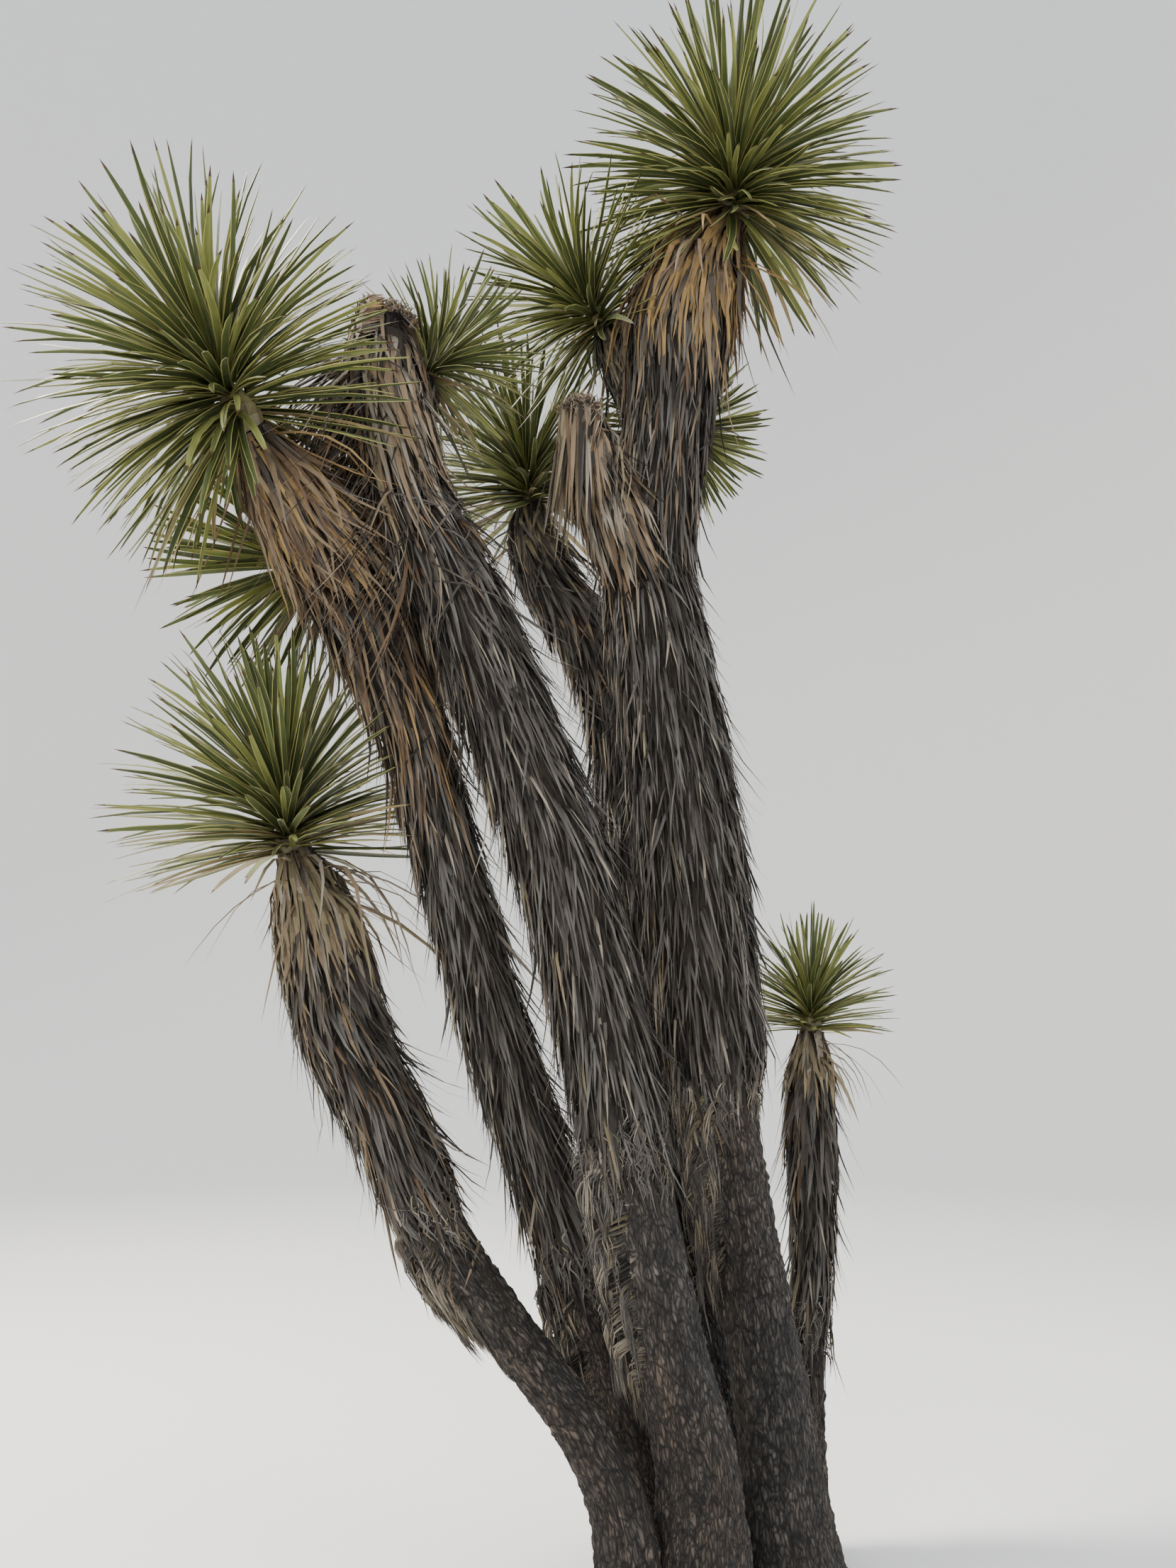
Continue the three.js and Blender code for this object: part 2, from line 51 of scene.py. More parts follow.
# Each route row is x, y, z and the outer radius there, dead leaves included, in millimetres.
# Bark is the bare radius at foot and tip. Dead leaves start at skirtFrom above a stem's foot, and a curtain
# of fibres hangs below them on its left, turned by curtainAt. A head has no leaves towards its gap.
limbs = {
    "main_stem": {
        "route": [
            (0, 0, 0, 66), (-24, 5, 300, 66), (-66, 18, 600, 82), (-106, 20, 895, 96),
            (-148, 18, 1290, 104), (-205, 0, 1690, 101), (-222, -5, 1800, 96), (-200, -25, 1960, 84),
            (-178, -42, 2150, 92), (-163, -62, 2300, 112), (-125, -80, 2425, 99), (-50, -90, 2562, 44),
        ],
        "bark": (64, 36), "flare": 0.8, "skirtFrom": 790, "seed": 11, "curtainAt": 0.6,
        "head": {"aim": (0.06, -0.2, 1), "leaves": 430, "size": 1, "droop": 132}, "neck": "golden",
    },
    "front_stem": {
        "route": [
            (-168, -120, 0, 68), (-166, -130, 230, 66), (-200, -142, 390, 68), (-283, -175, 760, 76),
            (-349, -195, 1060, 80), (-395, -208, 1233, 85), (-461, -218, 1410, 82), (-531, -225, 1579, 86),
            (-600, -232, 1730, 86), (-655, -238, 1840, 76), (-690, -240, 1950, 72), (-716, -240, 2060, 77),
            (-722, -240, 2180, 69), (-719, -240, 2241, 55),
        ],
        "bark": (64, 34), "flare": 0.62, "skirtFrom": 700, "seed": 12, "curtainAt": 0.22, "hollow": -1.0,
    },
    "left_stem": {
        "route": [
            (-210, 50, 0, 48), (-265, 58, 226, 50), (-381, 30, 570, 62), (-497, -20, 895, 62),
            (-602, -90, 1255, 64), (-651, -130, 1435, 66), (-700, -165, 1570, 78), (-756, -205, 1690, 92),
            (-805, -262, 1765, 90), (-851, -330, 1822, 72), (-906, -420, 1898, 40),
        ],
        "bark": (50, 30), "flare": 0.7, "skirtFrom": 490, "seed": 13, "curtain": 0.7,
        "head": {"aim": (-0.44, -0.4, 0.85), "leaves": 430, "size": 0.95, "droop": 128,
                 "gap": (0.85, -0.3, -0.43)},
        "neck": "warm",
    },
    "low_stem": {
        "route": [
            (-272, -160, 0, 50), (-290, -160, 190, 48), (-338, -150, 286, 46), (-471, -120, 446, 48),
            (-604, -80, 612, 62), (-700, -50, 790, 72), (-769, -30, 902, 78), (-806, -20, 1007, 81),
            (-840, -20, 1114, 74), (-869, -20, 1196, 57), (-890, -20, 1248, 40),
        ],
        "bark": (46, 30), "flare": 0.5, "skirtFrom": 680, "seed": 14, "curtain": 0.3,
        "head": {"aim": (-0.2, -0.12, 1), "leaves": 310, "size": 0.98, "droop": 98}, "neck": "khaki",
    },
    "rear_stem": {
        "route": [
            (-55, 145, 0, 52), (-114, 180, 350, 52), (-174, 200, 670, 58), (-204, 220, 896, 62),
            (-250, 240, 1313, 68), (-275, 250, 1565, 70), (-308, 260, 1697, 69), (-363, 270, 1815, 68),
            (-427, 280, 1921, 64), (-465, 290, 2028, 52), (-471, 300, 2112, 38),
        ],
        "bark": (48, 28), "flare": 0.7, "skirtFrom": 480, "seed": 15,
        "head": {"aim": (-0.1, -0.1, 1), "leaves": 260, "size": 0.88, "droop": 112}, "neck": "dull",
    },
    "small_stem": {
        "route": [
            (50, 165, 0, 38), (78, 235, 312, 36), (100, 260, 480, 42), (106, 270, 656, 50),
            (114, 280, 840, 47), (118, 280, 929, 29),
        ],
        "bark": (34, 22), "flare": 0.8, "skirtFrom": 330, "seed": 16,
        "head": {"aim": (0.02, -0.05, 1), "leaves": 170, "size": 0.56, "droop": 91}, "neck": "khaki",
    },
    "upper_bough": {
        "route": [(-178, -42, 2110, 40), (-246, -30, 2232, 46), (-303, -20, 2348, 32)],
        "bark": (27, 22), "seed": 21,
        "head": {"aim": (-0.6, -0.2, 0.8), "leaves": 230, "size": 0.78, "droop": 112}, "neck": "dull",
    },
    "hidden_bough": {
        "route": [(-200, -25, 1960, 40), (-172, 96, 2080, 44), (-140, 200, 2244, 31)],
        "bark": (26, 21), "seed": 22,
        "head": {"aim": (0.2, 0.9, 0.4), "leaves": 170, "size": 0.62, "droop": 112}, "neck": "dull",
    },
    "dead_bough": {
        "route": [
            (-215, -3, 1750, 62), (-288, -112, 1880, 66), (-330, -155, 1975, 58), (-354, -180, 2062, 38),
        ],
        "bark": (32, 26), "seed": 23,
    },
    "side_bough": {
        "route": [(-728, -185, 1640, 36), (-768, -132, 1706, 38), (-816, -80, 1793, 29)],
        "bark": (24, 20), "seed": 24,
        "head": {"aim": (-0.9, 0.3, 0.25), "leaves": 200, "size": 0.85, "droop": 104}, "neck": "dull",
    },
    "top_bough": {
        "route": [(-690, -240, 1950, 36), (-672, -196, 2046, 38), (-658, -160, 2153, 28)],
        "bark": (22, 18), "seed": 25,
        "head": {"aim": (0.5, 0.2, 0.8), "leaves": 160, "size": 0.6, "droop": 108}, "neck": "dull",
    },
}

growth = {
    "leafLength": 400 * mm,  # a full-grown blade of the big heads
    "sideLeaf": 0.8,  # leaves that stand out sideways or droop, against the upright ones
    "coreRadius": 50 * mm,  # the living stem inside a full-size head
    "coreLength": 120 * mm,
    "rootDepth": 0.3,  # how deep in the core a blade starts
    "fringeDrop": 330 * mm,  # a skirt reaches this much lower on a stem's left side
    "flareHeight": 110 * mm,
    "levelHeight": 150 * mm,  # a stem's rings turn from level to square over this height
    "tableStep": 4 * mm,  # spacing of the looked-up places along a limb
}


def smooth(x, low, high):
    share = np.clip((x - low) / (high - low), 0, 1)
    return share * share * (3 - 2 * share)


def mix(a, b, share):
    return a + (b - a) * share


def unit(v):
    return v / np.maximum(np.linalg.norm(v, axis=-1, keepdims=True), 1e-12)


def dot(a, b):
    return np.sum(a * b, axis=-1, keepdims=True)


# Two directions square to each given one, the first of them to the right.
def squareTo(along):
    right = unit(np.array([1.0, 0, 0]) - along[..., :1] * along)
    return right, np.cross(along, right)


# A smooth curve through points, even where they crowd: its points, and the index of each given one in it.
def curveThrough(points, steps=60):
    points = np.array(points, float)
    ends = [2 * points[0] - points[1], *points, 2 * points[-1] - points[-2]]
    found, marks = [], []
    for p0, p1, p2, p3 in zip(ends, ends[1:], ends[2:], ends[3:]):
        d0, d1, d2 = (math.sqrt(np.linalg.norm(b - a)) for a, b in ((p0, p1), (p1, p2), (p2, p3)))
        slope1 = ((p1 - p0) / d0 - (p2 - p0) / (d0 + d1) + (p2 - p1) / d1) * d1
        slope2 = ((p2 - p1) / d1 - (p3 - p1) / (d1 + d2) + (p3 - p2) / d2) * d1
        t = np.linspace(0, 1, steps, endpoint=False)[:, None]
        marks.append(len(found))
        found.extend(p1 * (2 * t**3 - 3 * t**2 + 1) + slope1 * (t**3 - 2 * t**2 + t)
                     + p2 * (3 * t**2 - 2 * t**3) + slope2 * (t**3 - t**2))
    marks.append(len(found))
    found.append(points[-1])
    return np.array(found), marks


# A limb's centre line as a table, looked up by the distance s along it.
class CentreLine:
    def __init__(self, route):
        points, marks = curveThrough([np.array(row[:3]) * mm for row in route])
        arc = np.concatenate([[0], np.cumsum(np.linalg.norm(np.diff(points, axis=0), axis=1))])
        self.length = arc[-1]
        self.s = np.arange(0, self.length + growth["tableStep"], growth["tableStep"]).clip(0, self.length)
        self.point = np.stack([np.interp(self.s, arc, points[:, k]) for k in range(3)], axis=1)
        self.tangent = unit(np.gradient(self.point, axis=0) + 1e-12)
        self.tangent[-1] = self.tangent[-2]
        self.radius = np.interp(self.s, arc[marks], [row[3] * mm for row in route])

    def girth(self, s):
        return np.interp(s, self.s, self.radius)

    # Point and directions at s, carried on straight past either end.
    def at(self, s):
        inside = np.clip(s, 0, self.length)
        point, tangent = (np.stack([np.interp(inside, self.s, table[:, k]) for k in range(3)], axis=-1)
                          for table in (self.point, self.tangent))
        tangent = unit(tangent)
        return point + tangent * (s - inside)[..., None], tangent, *squareTo(tangent)

    # Distance of points from the line, and how far along it each is nearest.
    def nearest(self, points):
        best = np.full(len(points), 9.0)
        where = np.zeros(len(points))
        for s, centre in zip(self.s[::5], self.point[::5]):
            far = np.linalg.norm(points - centre, axis=1)
            closer = far < best
            best[closer] = far[closer]
            where[closer] = s
        return best, where


for limb in limbs.values():
    limb["line"] = CentreLine(limb["route"])
    limb["barkAt"] = (lambda s, b=limb["bark"], n=limb["line"].length: mix(b[0], b[1], s / n) * mm)
print("limbs:", len(limbs))


# How far down the dead leaves hang at an angle round a stem: lower on its left.
def skirtEdge(limb, angle):
    if "skirtFrom" not in limb:
        return np.zeros_like(angle)
    leftness = np.maximum(0, np.cos(angle - math.pi))
    return limb["skirtFrom"] * mm - growth["fringeDrop"] * leftness**3


# The outer radius of the dead leaves.
def coat(limb, s, angle):
    under = limb["barkAt"](s) * 0.9 - 4 * mm
    if "skirtFrom" not in limb:
        return limb["line"].girth(s)
    edge = skirtEdge(limb, angle)
    return mix(under, limb["line"].girth(s), smooth(s, edge - 40 * mm, edge + 110 * mm))


def pointAt(limb, s, angle, radius):
    point, _, right, back = limb["line"].at(s)
    return point + right * (radius * np.cos(angle))[..., None] + back * (radius * np.sin(angle))[..., None]


# The centre at s, the limb's own direction there, and the direction outwards at an angle.
def outwards(limb, s, angle):
    point, tangent, right, back = limb["line"].at(s)
    return point, tangent, right * np.cos(angle)[:, None] + back * np.sin(angle)[:, None]


# Random numbers spread evenly, one array for each range.
def drawn(random, count, *ranges):
    return [random.uniform(low, high, count) for low, high in ranges]


# Blades swept along paths: a section of a few points that follows each path and narrows to its tip.
# A batch holds points, triangles, one tone for each triangle, a map across and along each blade, in metres,
# and how far along the part that others cover each point is: more than 1 past it. That last sets the painted
# shade at a blade's root.
def bladeBatch(random, kind, paths, widths, tones, sides, kept=slice(None)):
    paths, widths, tones, sides = (part[kept] for part in (paths, widths, tones, sides))
    shape = shapes[kind]
    section = shape["section"]
    corners = len(section)
    count, rings = paths.shape[:2]
    along = unit(np.gradient(paths, axis=1))
    across = unit(sides[:, None, :] - along * dot(along, sides[:, None, :]))
    through = np.cross(along, across)
    size = (widths[:, None] * shape["profile"][None, :])[:, :-1, None]
    points = (paths[:, :-1, None, :] + across[:, :-1, None, :] * (size * section[:, 0])[..., None]
              + through[:, :-1, None, :] * (size * section[:, 1])[..., None])
    points = np.concatenate([points.reshape(count, -1, 3), paths[:, -1:, :]], axis=1)
    far = np.linalg.norm(np.diff(paths, axis=1), axis=2).cumsum(axis=1)
    v = np.concatenate([np.zeros((count, 1)), far], axis=1)
    u = np.tile(section[:, 0], rings - 1)[None, :] * widths[:, None]
    run = np.concatenate([np.repeat(v[:, :-1], corners, axis=1), v[:, -1:]], axis=1)
    place = np.stack([np.concatenate([u, np.zeros((count, 1))], axis=1), run], axis=-1)
    place += random.uniform(0, 40, (count, 1, 2))
    faces, corner, ring = bladeFaces(rings, corners)
    starts = (np.arange(count) * points.shape[1])[:, None, None]
    slots = shape["paint"](tones, corner, ring, rings) if "paint" in shape else np.repeat(tones, len(faces))
    return {"points": points.reshape(-1, 3), "faces": (faces[None] + starts).reshape(-1, 3),
            "slots": slots.ravel(), "map": place.reshape(-1, 2),
            "along": (run / v[:, -1:]).ravel() / shape["covered"]}


# One blade's triangles, and for each its corner round the section and its ring along the blade.
def bladeFaces(rings, corners):
    faces = []
    for ring in range(rings - 2):
        for corner in range(corners):
            a = ring * corners + corner
            b = ring * corners + (corner + 1) % corners
            faces += [(a, b, b + corners, corner, ring), (a, b + corners, a + corners, corner, ring)]
    last, tip = (rings - 2) * corners, (rings - 1) * corners
    for corner in range(corners):
        faces.append((last + corner, last + (corner + 1) % corners, tip, corner, rings - 2))
    for corner in range(1, corners - 1):
        faces.append((0, corner + 1, corner, corner, 0))
    faces = np.array(faces)
    return faces[:, :3], faces[:, 3], faces[:, 4]


def writeAttribute(piece, name, kind, values):
    attribute = piece.data.attributes.new(name, kind, "POINT")
    field = "vector" if kind == "FLOAT_VECTOR" else "value"
    attribute.data.foreach_set(field, values.astype(np.float32).ravel())


# One mesh object from several batches.
def meshPiece(name, batches, materials):
    offsets = np.cumsum([0] + [len(batch["points"]) for batch in batches])
    faces = np.concatenate([batch["faces"] + offset for batch, offset in zip(batches, offsets)])
    points, slots, places, along = (np.concatenate([batch[key] for batch in batches])
                                    for key in ("points", "slots", "map", "along"))
    mesh = bpy.data.meshes.new(name)
    mesh.from_pydata(points, [], faces)
    mesh.polygons.foreach_set("material_index", slots.astype(np.int32))
    for material in materials:
        mesh.materials.append(material)
    layer = mesh.uv_layers.new(name="blade")
    layer.data.foreach_set("uv", places[faces.ravel()].astype(np.float32).ravel())
    mesh.validate()
    piece = bpy.data.objects.new(name, mesh)
    writeAttribute(piece, "along", "FLOAT", along)
    bpy.context.scene.collection.objects.link(piece)
    return piece


def selectOnly(piece):
    bpy.ops.object.select_all(action="DESELECT")
    piece.select_set(True)
    bpy.context.view_layer.objects.active = piece


def finishPiece(piece, slotName, *nodes):
    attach(piece, "root")
    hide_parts(*nodes)


# Shader helpers
def newMaterial(name, color, roughness):
    material = bpy.data.materials.new(name)
    material.use_nodes = True
    shader = material.node_tree.nodes["Principled BSDF"]
    feed(material.node_tree, shader, {"Base Color": (*color, 1), "Roughness": roughness})
    material.diffuse_color = (*color, 1)
    return material, material.node_tree, shader


# Fills a node's inputs: another node's output is linked, any other value is set.
def feed(tree, node, values):
    for key, value in values.items():
        if isinstance(value, bpy.types.NodeSocket):
            tree.links.new(value, node.inputs[key])
        else:
            node.inputs[key].default_value = value


# Adds a node and gives its outputs.
def addNode(tree, kind, values, **settings):
    node = tree.nodes.new("ShaderNode" + kind)
    for key, setting in settings.items():
        setattr(node, key, setting)
    feed(tree, node, values)
    return node.outputs


def maths(tree, operation, *values):
    return addNode(tree, "Math", dict(enumerate(values)), operation=operation)[0]


def multiply(tree, product, *others):
    for other in others:
        product = maths(tree, "MULTIPLY", product, other)
    return product


def mapped(tree, value, low, high, start=0, end=1):
    return addNode(tree, "MapRange", {"Value": value, "From Min": start, "From Max": end,
                                      "To Min": low, "To Max": high})["Result"]


def mixColors(tree, blend, share, first, second):
    values = {"Factor": share, 6: first, 7: second}
    return addNode(tree, "Mix", values, data_type="RGBA", blend_type=blend)[2]


def noise(tree, place, scale, detail, roughness=0.5):
    values = {"Vector": place, "Scale": scale, "Detail": detail, "Roughness": roughness}
    return addNode(tree, "TexNoise", values)


def scaled(tree, place, scale):
    return addNode(tree, "Mapping", {"Vector": place, "Scale": scale})["Vector"]


# An empty node group, its inputs' values and its output node.
def shaderGroup(name, inputs, outputs):
    group = bpy.data.node_groups.new(name, "ShaderNodeTree")
    for label, (kind, default) in inputs.items():
        socket = group.interface.new_socket(name=label, in_out="INPUT", socket_type="NodeSocket" + kind)
        socket.default_value = default
    for label, kind in outputs.items():
        group.interface.new_socket(name=label, in_out="OUTPUT", socket_type="NodeSocket" + kind)
    return group, group.nodes.new("NodeGroupInput").outputs, group.nodes.new("NodeGroupOutput")


# Streaks and specks that run along a leaf, as a colour between two tones, a roughness and a normal.
# The colour is darker towards the leaf's root, a painted shade where other leaves cover it.
def makeStreakGroup():
    group, given, leave = shaderGroup(
        "leafStreaks",
        {"Dark": ("Color", (0.1, 0.1, 0.1, 1)), "Light": ("Color", (0.5, 0.5, 0.5, 1)),
         "Streak Scale": ("Float", 260), "Patch Scale": ("Float", 9), "Relief": ("Float", 0.4),
         "Shine": ("Float", 0.6), "Root Shade": ("Float", 1)},
        {"Color": "Color", "Roughness": "Float", "Normal": "Vector"})
    place = addNode(group, "UVMap", {}, uv_map="blade")["UV"]
    streaks = noise(group, scaled(group, place, (1, 0.05, 1)), given["Streak Scale"], 3, 0.6)["Fac"]
    patches = noise(group, place, given["Patch Scale"], 4, 0.65)["Fac"]
    both = maths(group, "MULTIPLY_ADD", streaks, 0.5, maths(group, "MULTIPLY", patches, 0.5))
    tones = mixColors(group, "MIX", mapped(group, both, 0, 1, 0.36, 0.64), given["Dark"], given["Light"])
    along = addNode(group, "Attribute", {}, attribute_name="along")["Fac"]
    shade = mapped(group, along, given["Root Shade"], 1, 0.05)
    bump = addNode(group, "Bump", {"Distance": 0.002, "Strength": given["Relief"], "Height": streaks})
    feed(group, leave, {"Color": mixColors(group, "MULTIPLY", 1, tones, shade),
                        "Roughness": maths(group, "MULTIPLY_ADD", streaks, 0.2, given["Shine"]),
                        "Normal": bump["Normal"]})
    return group


streakGroup = makeStreakGroup()


# root sets how dark the painted shade at a leaf's root gets.
def leafMaterial(name, dark, light, shine, root, relief=0.4, patchScale=9):
    middle = tuple((a + b) / 2 for a, b in zip(dark, light))
    material, tree, shader = newMaterial(name, middle, shine)
    streaks = addNode(tree, "Group", {
        "Dark": (*dark, 1), "Light": (*light, 1), "Shine": shine - 0.1,
        "Relief": relief, "Patch Scale": patchScale, "Root Shade": root}, node_tree=streakGroup)
    feed(tree, shader, {"Specular IOR Level": 0.3, "Base Color": streaks["Color"],
                        "Roughness": streaks["Roughness"], "Normal": streaks["Normal"]})
    return material


deadTones = {  # darker and lighter tone of each kind of dead leaf
    "goldenTan": ((0.21, 0.135, 0.055), (0.39, 0.257, 0.108)),
    "tan": ((0.15, 0.108, 0.066), (0.27, 0.197, 0.124)),
    "khaki": ((0.15, 0.122, 0.070), (0.28, 0.232, 0.14)),
    "paleGrey": ((0.20, 0.17, 0.13), (0.34, 0.295, 0.232)),
    "cinnamon": ((0.085, 0.053, 0.031), (0.165, 0.105, 0.063)),
    "greyBrown": ((0.052, 0.045, 0.038), (0.106, 0.091, 0.077)),
    "grey": ((0.082, 0.076, 0.069), (0.152, 0.140, 0.127)),
    "darkGrey": ((0.014, 0.012, 0.010), (0.036, 0.030, 0.024)),
}
deadMaterials = [leafMaterial("dead_" + name, *pair, 0.85, 0.35) for name, pair in deadTones.items()]
deadIndex = {name: k for k, name in enumerate(deadTones)}

greenTones = {
    "olive": ((0.029, 0.039, 0.014), (0.078, 0.098, 0.034)),
    "green": ((0.051, 0.069, 0.021), (0.125, 0.153, 0.050)),
    # lightGreen: partly paler leaves, partly painted light shining through them from behind
    "lightGreen": ((0.132, 0.153, 0.042), (0.275, 0.298, 0.092)),
    # margin: partly a pale edge, partly a painted highlight
    "margin": ((0.27, 0.26, 0.07), (0.46, 0.43, 0.15)),
    "tip": ((0.045, 0.024, 0.012), (0.10, 0.055, 0.03)),
    "fadedTan": ((0.16, 0.12, 0.055), (0.34, 0.27, 0.13)),
    "pith": ((0.10, 0.085, 0.04), (0.22, 0.19, 0.09)),
}
greenMaterials = [leafMaterial("green_" + name, *pair, 0.44, 0.55, 0.25, 5)
                  for name, pair in greenTones.items()]
greenIndex = {name: k for k, name in enumerate(greenTones)}
print("leaf materials:", len(deadMaterials) + len(greenMaterials))


# Bark
barkSpec = {
    "sides": 32,
    "fineStep": 15 * mm,  # rings on the bare foot
    "coarseStep": 120 * mm,  # rings under the dead leaves
    "overlap": 130 * mm,  # the fine rings go on this far under the skirt's edge
    "levels": 2,
    "crackDepth": 2.5 * mm,
    "sharpAngle": 50,
}


# A straight column with the limb's taper and root flare, drawn up ring by ring.
def columnRadius(limb, s):
    spread = limb.get("flare", 0) * math.exp(-s / growth["flareHeight"])
    return limb["barkAt"](s) * (1 + spread)


def straightColumn(name, limb):
    length = limb["line"].length
    bare = limb["skirtFrom"] * mm + barkSpec["overlap"] if "skirtFrom" in limb else 0
    heights = [*np.arange(0, bare, barkSpec["fineStep"]),
               *np.arange(bare, length, barkSpec["coarseStep"]), length]
    bpy.ops.object.select_all(action="DESELECT")
    bpy.ops.mesh.primitive_circle_add(
        vertices=barkSpec["sides"], radius=columnRadius(limb, 0), fill_type="NGON")
    piece = bpy.context.object
    piece.name = name
    bpy.ops.object.mode_set(mode="EDIT")
    for low, high in zip(heights, heights[1:]):
        ratio = columnRadius(limb, high) / columnRadius(limb, low)
        bpy.ops.mesh.extrude_region_move(TRANSFORM_OT_translate={"value": (0, 0, high - low)})
        bpy.ops.transform.resize(value=(ratio, ratio, 1), center_override=(0, 0, high))
    bpy.ops.mesh.select_all(action="SELECT")
    bpy.ops.mesh.normals_make_consistent(inside=False)
    bpy.ops.object.mode_set(mode="OBJECT")
    return piece


def displace(piece, texture, depth, stretch, middle):
    bpy.ops.object.empty_add()
    guide = bpy.context.object
    guide.scale = (1, 1, stretch)
    selectOnly(piece)
    bpy.context.view_layer.update()
    modifier = piece.modifiers.new("relief", "DISPLACE")
    modifier.texture = texture
    modifier.texture_coords = "OBJECT"
    modifier.texture_coords_object = guide
    modifier.strength = depth
    modifier.mid_level = middle
    bpy.ops.object.modifier_apply(modifier=modifier.name)
    bpy.data.objects.remove(guide)


def crackleTexture(name, size):
    texture = bpy.data.textures.new(name, "VORONOI")
    texture.noise_scale = size
    texture.weight_1 = -1
    texture.weight_2 = 1
    texture.noise_intensity = 3.2
    return texture


def cloudTexture(name, size, depth):
    texture = bpy.data.textures.new(name, "CLOUDS")
    texture.noise_scale = size
    texture.noise_depth = depth
    return texture


barkReliefs = [  # texture, depth, how much longer than wide its forms are, and its value that stays in place
    (cloudTexture("barkLumps", 90 * mm, 1), 7 * mm, 1.5, 0.5),
    (crackleTexture("barkPlates", 9 * mm), 4 * mm, 2.6, 0.45),
    (crackleTexture("barkCracks", 30 * mm), barkSpec["crackDepth"], 2.4, 0.35),
    (cloudTexture("barkGrain", 6 * mm, 2), 2.5 * mm, 1.4, 0.5),
]


# Bends the straight column onto the limb's centre line; its foot stays level.
def bendOntoLimb(piece, limb):
    place = np.zeros(len(piece.data.vertices) * 3)
    piece.data.vertices.foreach_get("co", place)
    place = place.reshape(-1, 3)
    s = np.clip(place[:, 2], 0, limb["line"].length)
    angle = np.arctan2(place[:, 1], place[:, 0])
    radius = np.hypot(place[:, 0], place[:, 1])
    mean = np.array([columnRadius(limb, k) for k in s])
    onSide = smooth(radius, mean * 0.6, mean * 0.8)
    writeAttribute(piece, "straight", "FLOAT_VECTOR", place + limb["seed"])
    # The relief darkens the furrows in the bark material, as painted shade.
    writeAttribute(piece, "relief", "FLOAT", (radius - mean) / barkSpec["crackDepth"] * onSide)
    wave = limb["seed"] + s / mm * 0.009
    uneven = 0.035 * np.sin(angle * 2 + wave) + 0.025 * np.cos(angle * 3 - wave)
    spread = limb.get("flare", 0) * np.exp(-s / growth["flareHeight"])
    lobes = 0.12 * spread * np.cos(angle * 3 + limb["seed"])
    radius = radius * (1 + uneven + lobes)
    point, tangent, _, _ = limb["line"].at(s)
    if "flare" in limb:
        level = smooth(s, 0, growth["levelHeight"])[:, None]
        tangent = unit(mix(np.array([0, 0, 1.0]), tangent, level))
        point = mix(np.stack([point[:, 0], point[:, 1], s], axis=1), point, level)
    right, back = squareTo(tangent)
    bent = point + right * (radius * np.cos(angle))[:, None] + back * (radius * np.sin(angle))[:, None]
    if "flare" in limb:
        bent[place[:, 2] <= 1e-4, 2] = 0
        bent[:, 2] = np.maximum(bent[:, 2], 0)
    piece.data.vertices.foreach_set("co", bent.ravel())
    piece.data.update()


# Small upright plates with dark cracks between them, in the column's own coordinates.
def makePlateGroup():
    group, given, leave = shaderGroup(
        "barkPlates",
        {"Place": ("Vector", (0, 0, 0)), "Scale": ("Float", 100), "Crack": ("Float", 0.12)},
        {"Open": "Float", "Shade": "Float"})
    wander = noise(group, given["Place"], 38, 2)["Color"]
    moved = addNode(group, "VectorMath", {0: wander, 1: (0.022, 0.022, 0.022), 2: given["Place"]},
                    operation="MULTIPLY_ADD")["Vector"]
    cells, gaps = (addNode(group, "TexVoronoi", {"Vector": moved, "Scale": given["Scale"]}, feature=feature)
                   for feature in ("F1", "DISTANCE_TO_EDGE"))
    feed(group, leave, {"Open": mapped(group, gaps["Distance"], 0, 1, 0, given["Crack"]),
                        "Shade": addNode(group, "SeparateColor", {"Color": cells["Color"]})["Red"]})
    return group


def makeBarkMaterial():
    material, tree, shader = newMaterial("bark", (0.1, 0.078, 0.06), 0.92)
    straight = addNode(tree, "Attribute", {}, attribute_name="straight")["Vector"]
    relief = addNode(tree, "Attribute", {}, attribute_name="relief")["Fac"]
    tall = scaled(tree, straight, (1, 1, 0.24))
    squat = scaled(tree, straight, (1, 1, 0.5))
    patches = noise(tree, tall, 11, 3)["Fac"]
    grain = noise(tree, tall, 330, 4, 0.7)["Fac"]
    group = makePlateGroup()
    small = addNode(tree, "Group", {"Place": tall, "Scale": 175, "Crack": 0.28}, node_tree=group)
    large = addNode(tree, "Group", {"Place": squat, "Scale": 38, "Crack": 0.08}, node_tree=group)
    ramp = tree.nodes.new("ShaderNodeValToRGB")
    tones = (0.4, (0.062, 0.054, 0.048, 1)), (0.64, (0.080, 0.059, 0.044, 1))
    for element, (position, color) in zip(ramp.color_ramp.elements, tones):
        element.position = position
        element.color = color
    feed(tree, ramp, {"Fac": patches})
    cracks = multiply(tree, mapped(tree, small["Open"], 0.08, 1), mapped(tree, large["Open"], 0.12, 1))
    fine = mapped(tree, grain, 0.6, 1.5, 0.25, 0.75)
    plates = mapped(tree, small["Shade"], 0.55, 1.75)
    # Darker where the relief sinks into the furrows: painted shade.
    furrowShade = mapped(tree, relief, 0.6, 1.1, -1.2, 0.6)
    shade = multiply(tree, fine, plates, cracks, furrowShade)
    height = maths(tree, "MULTIPLY_ADD", grain, 0.4, cracks)
    bump = addNode(tree, "Bump", {"Strength": 0.8, "Distance": 0.003, "Height": height})
    feed(tree, shader, {"Base Color": mixColors(tree, "MULTIPLY", 1, ramp.outputs["Color"], shade),
                        "Normal": bump["Normal"]})
    return material


barkMaterial = makeBarkMaterial()


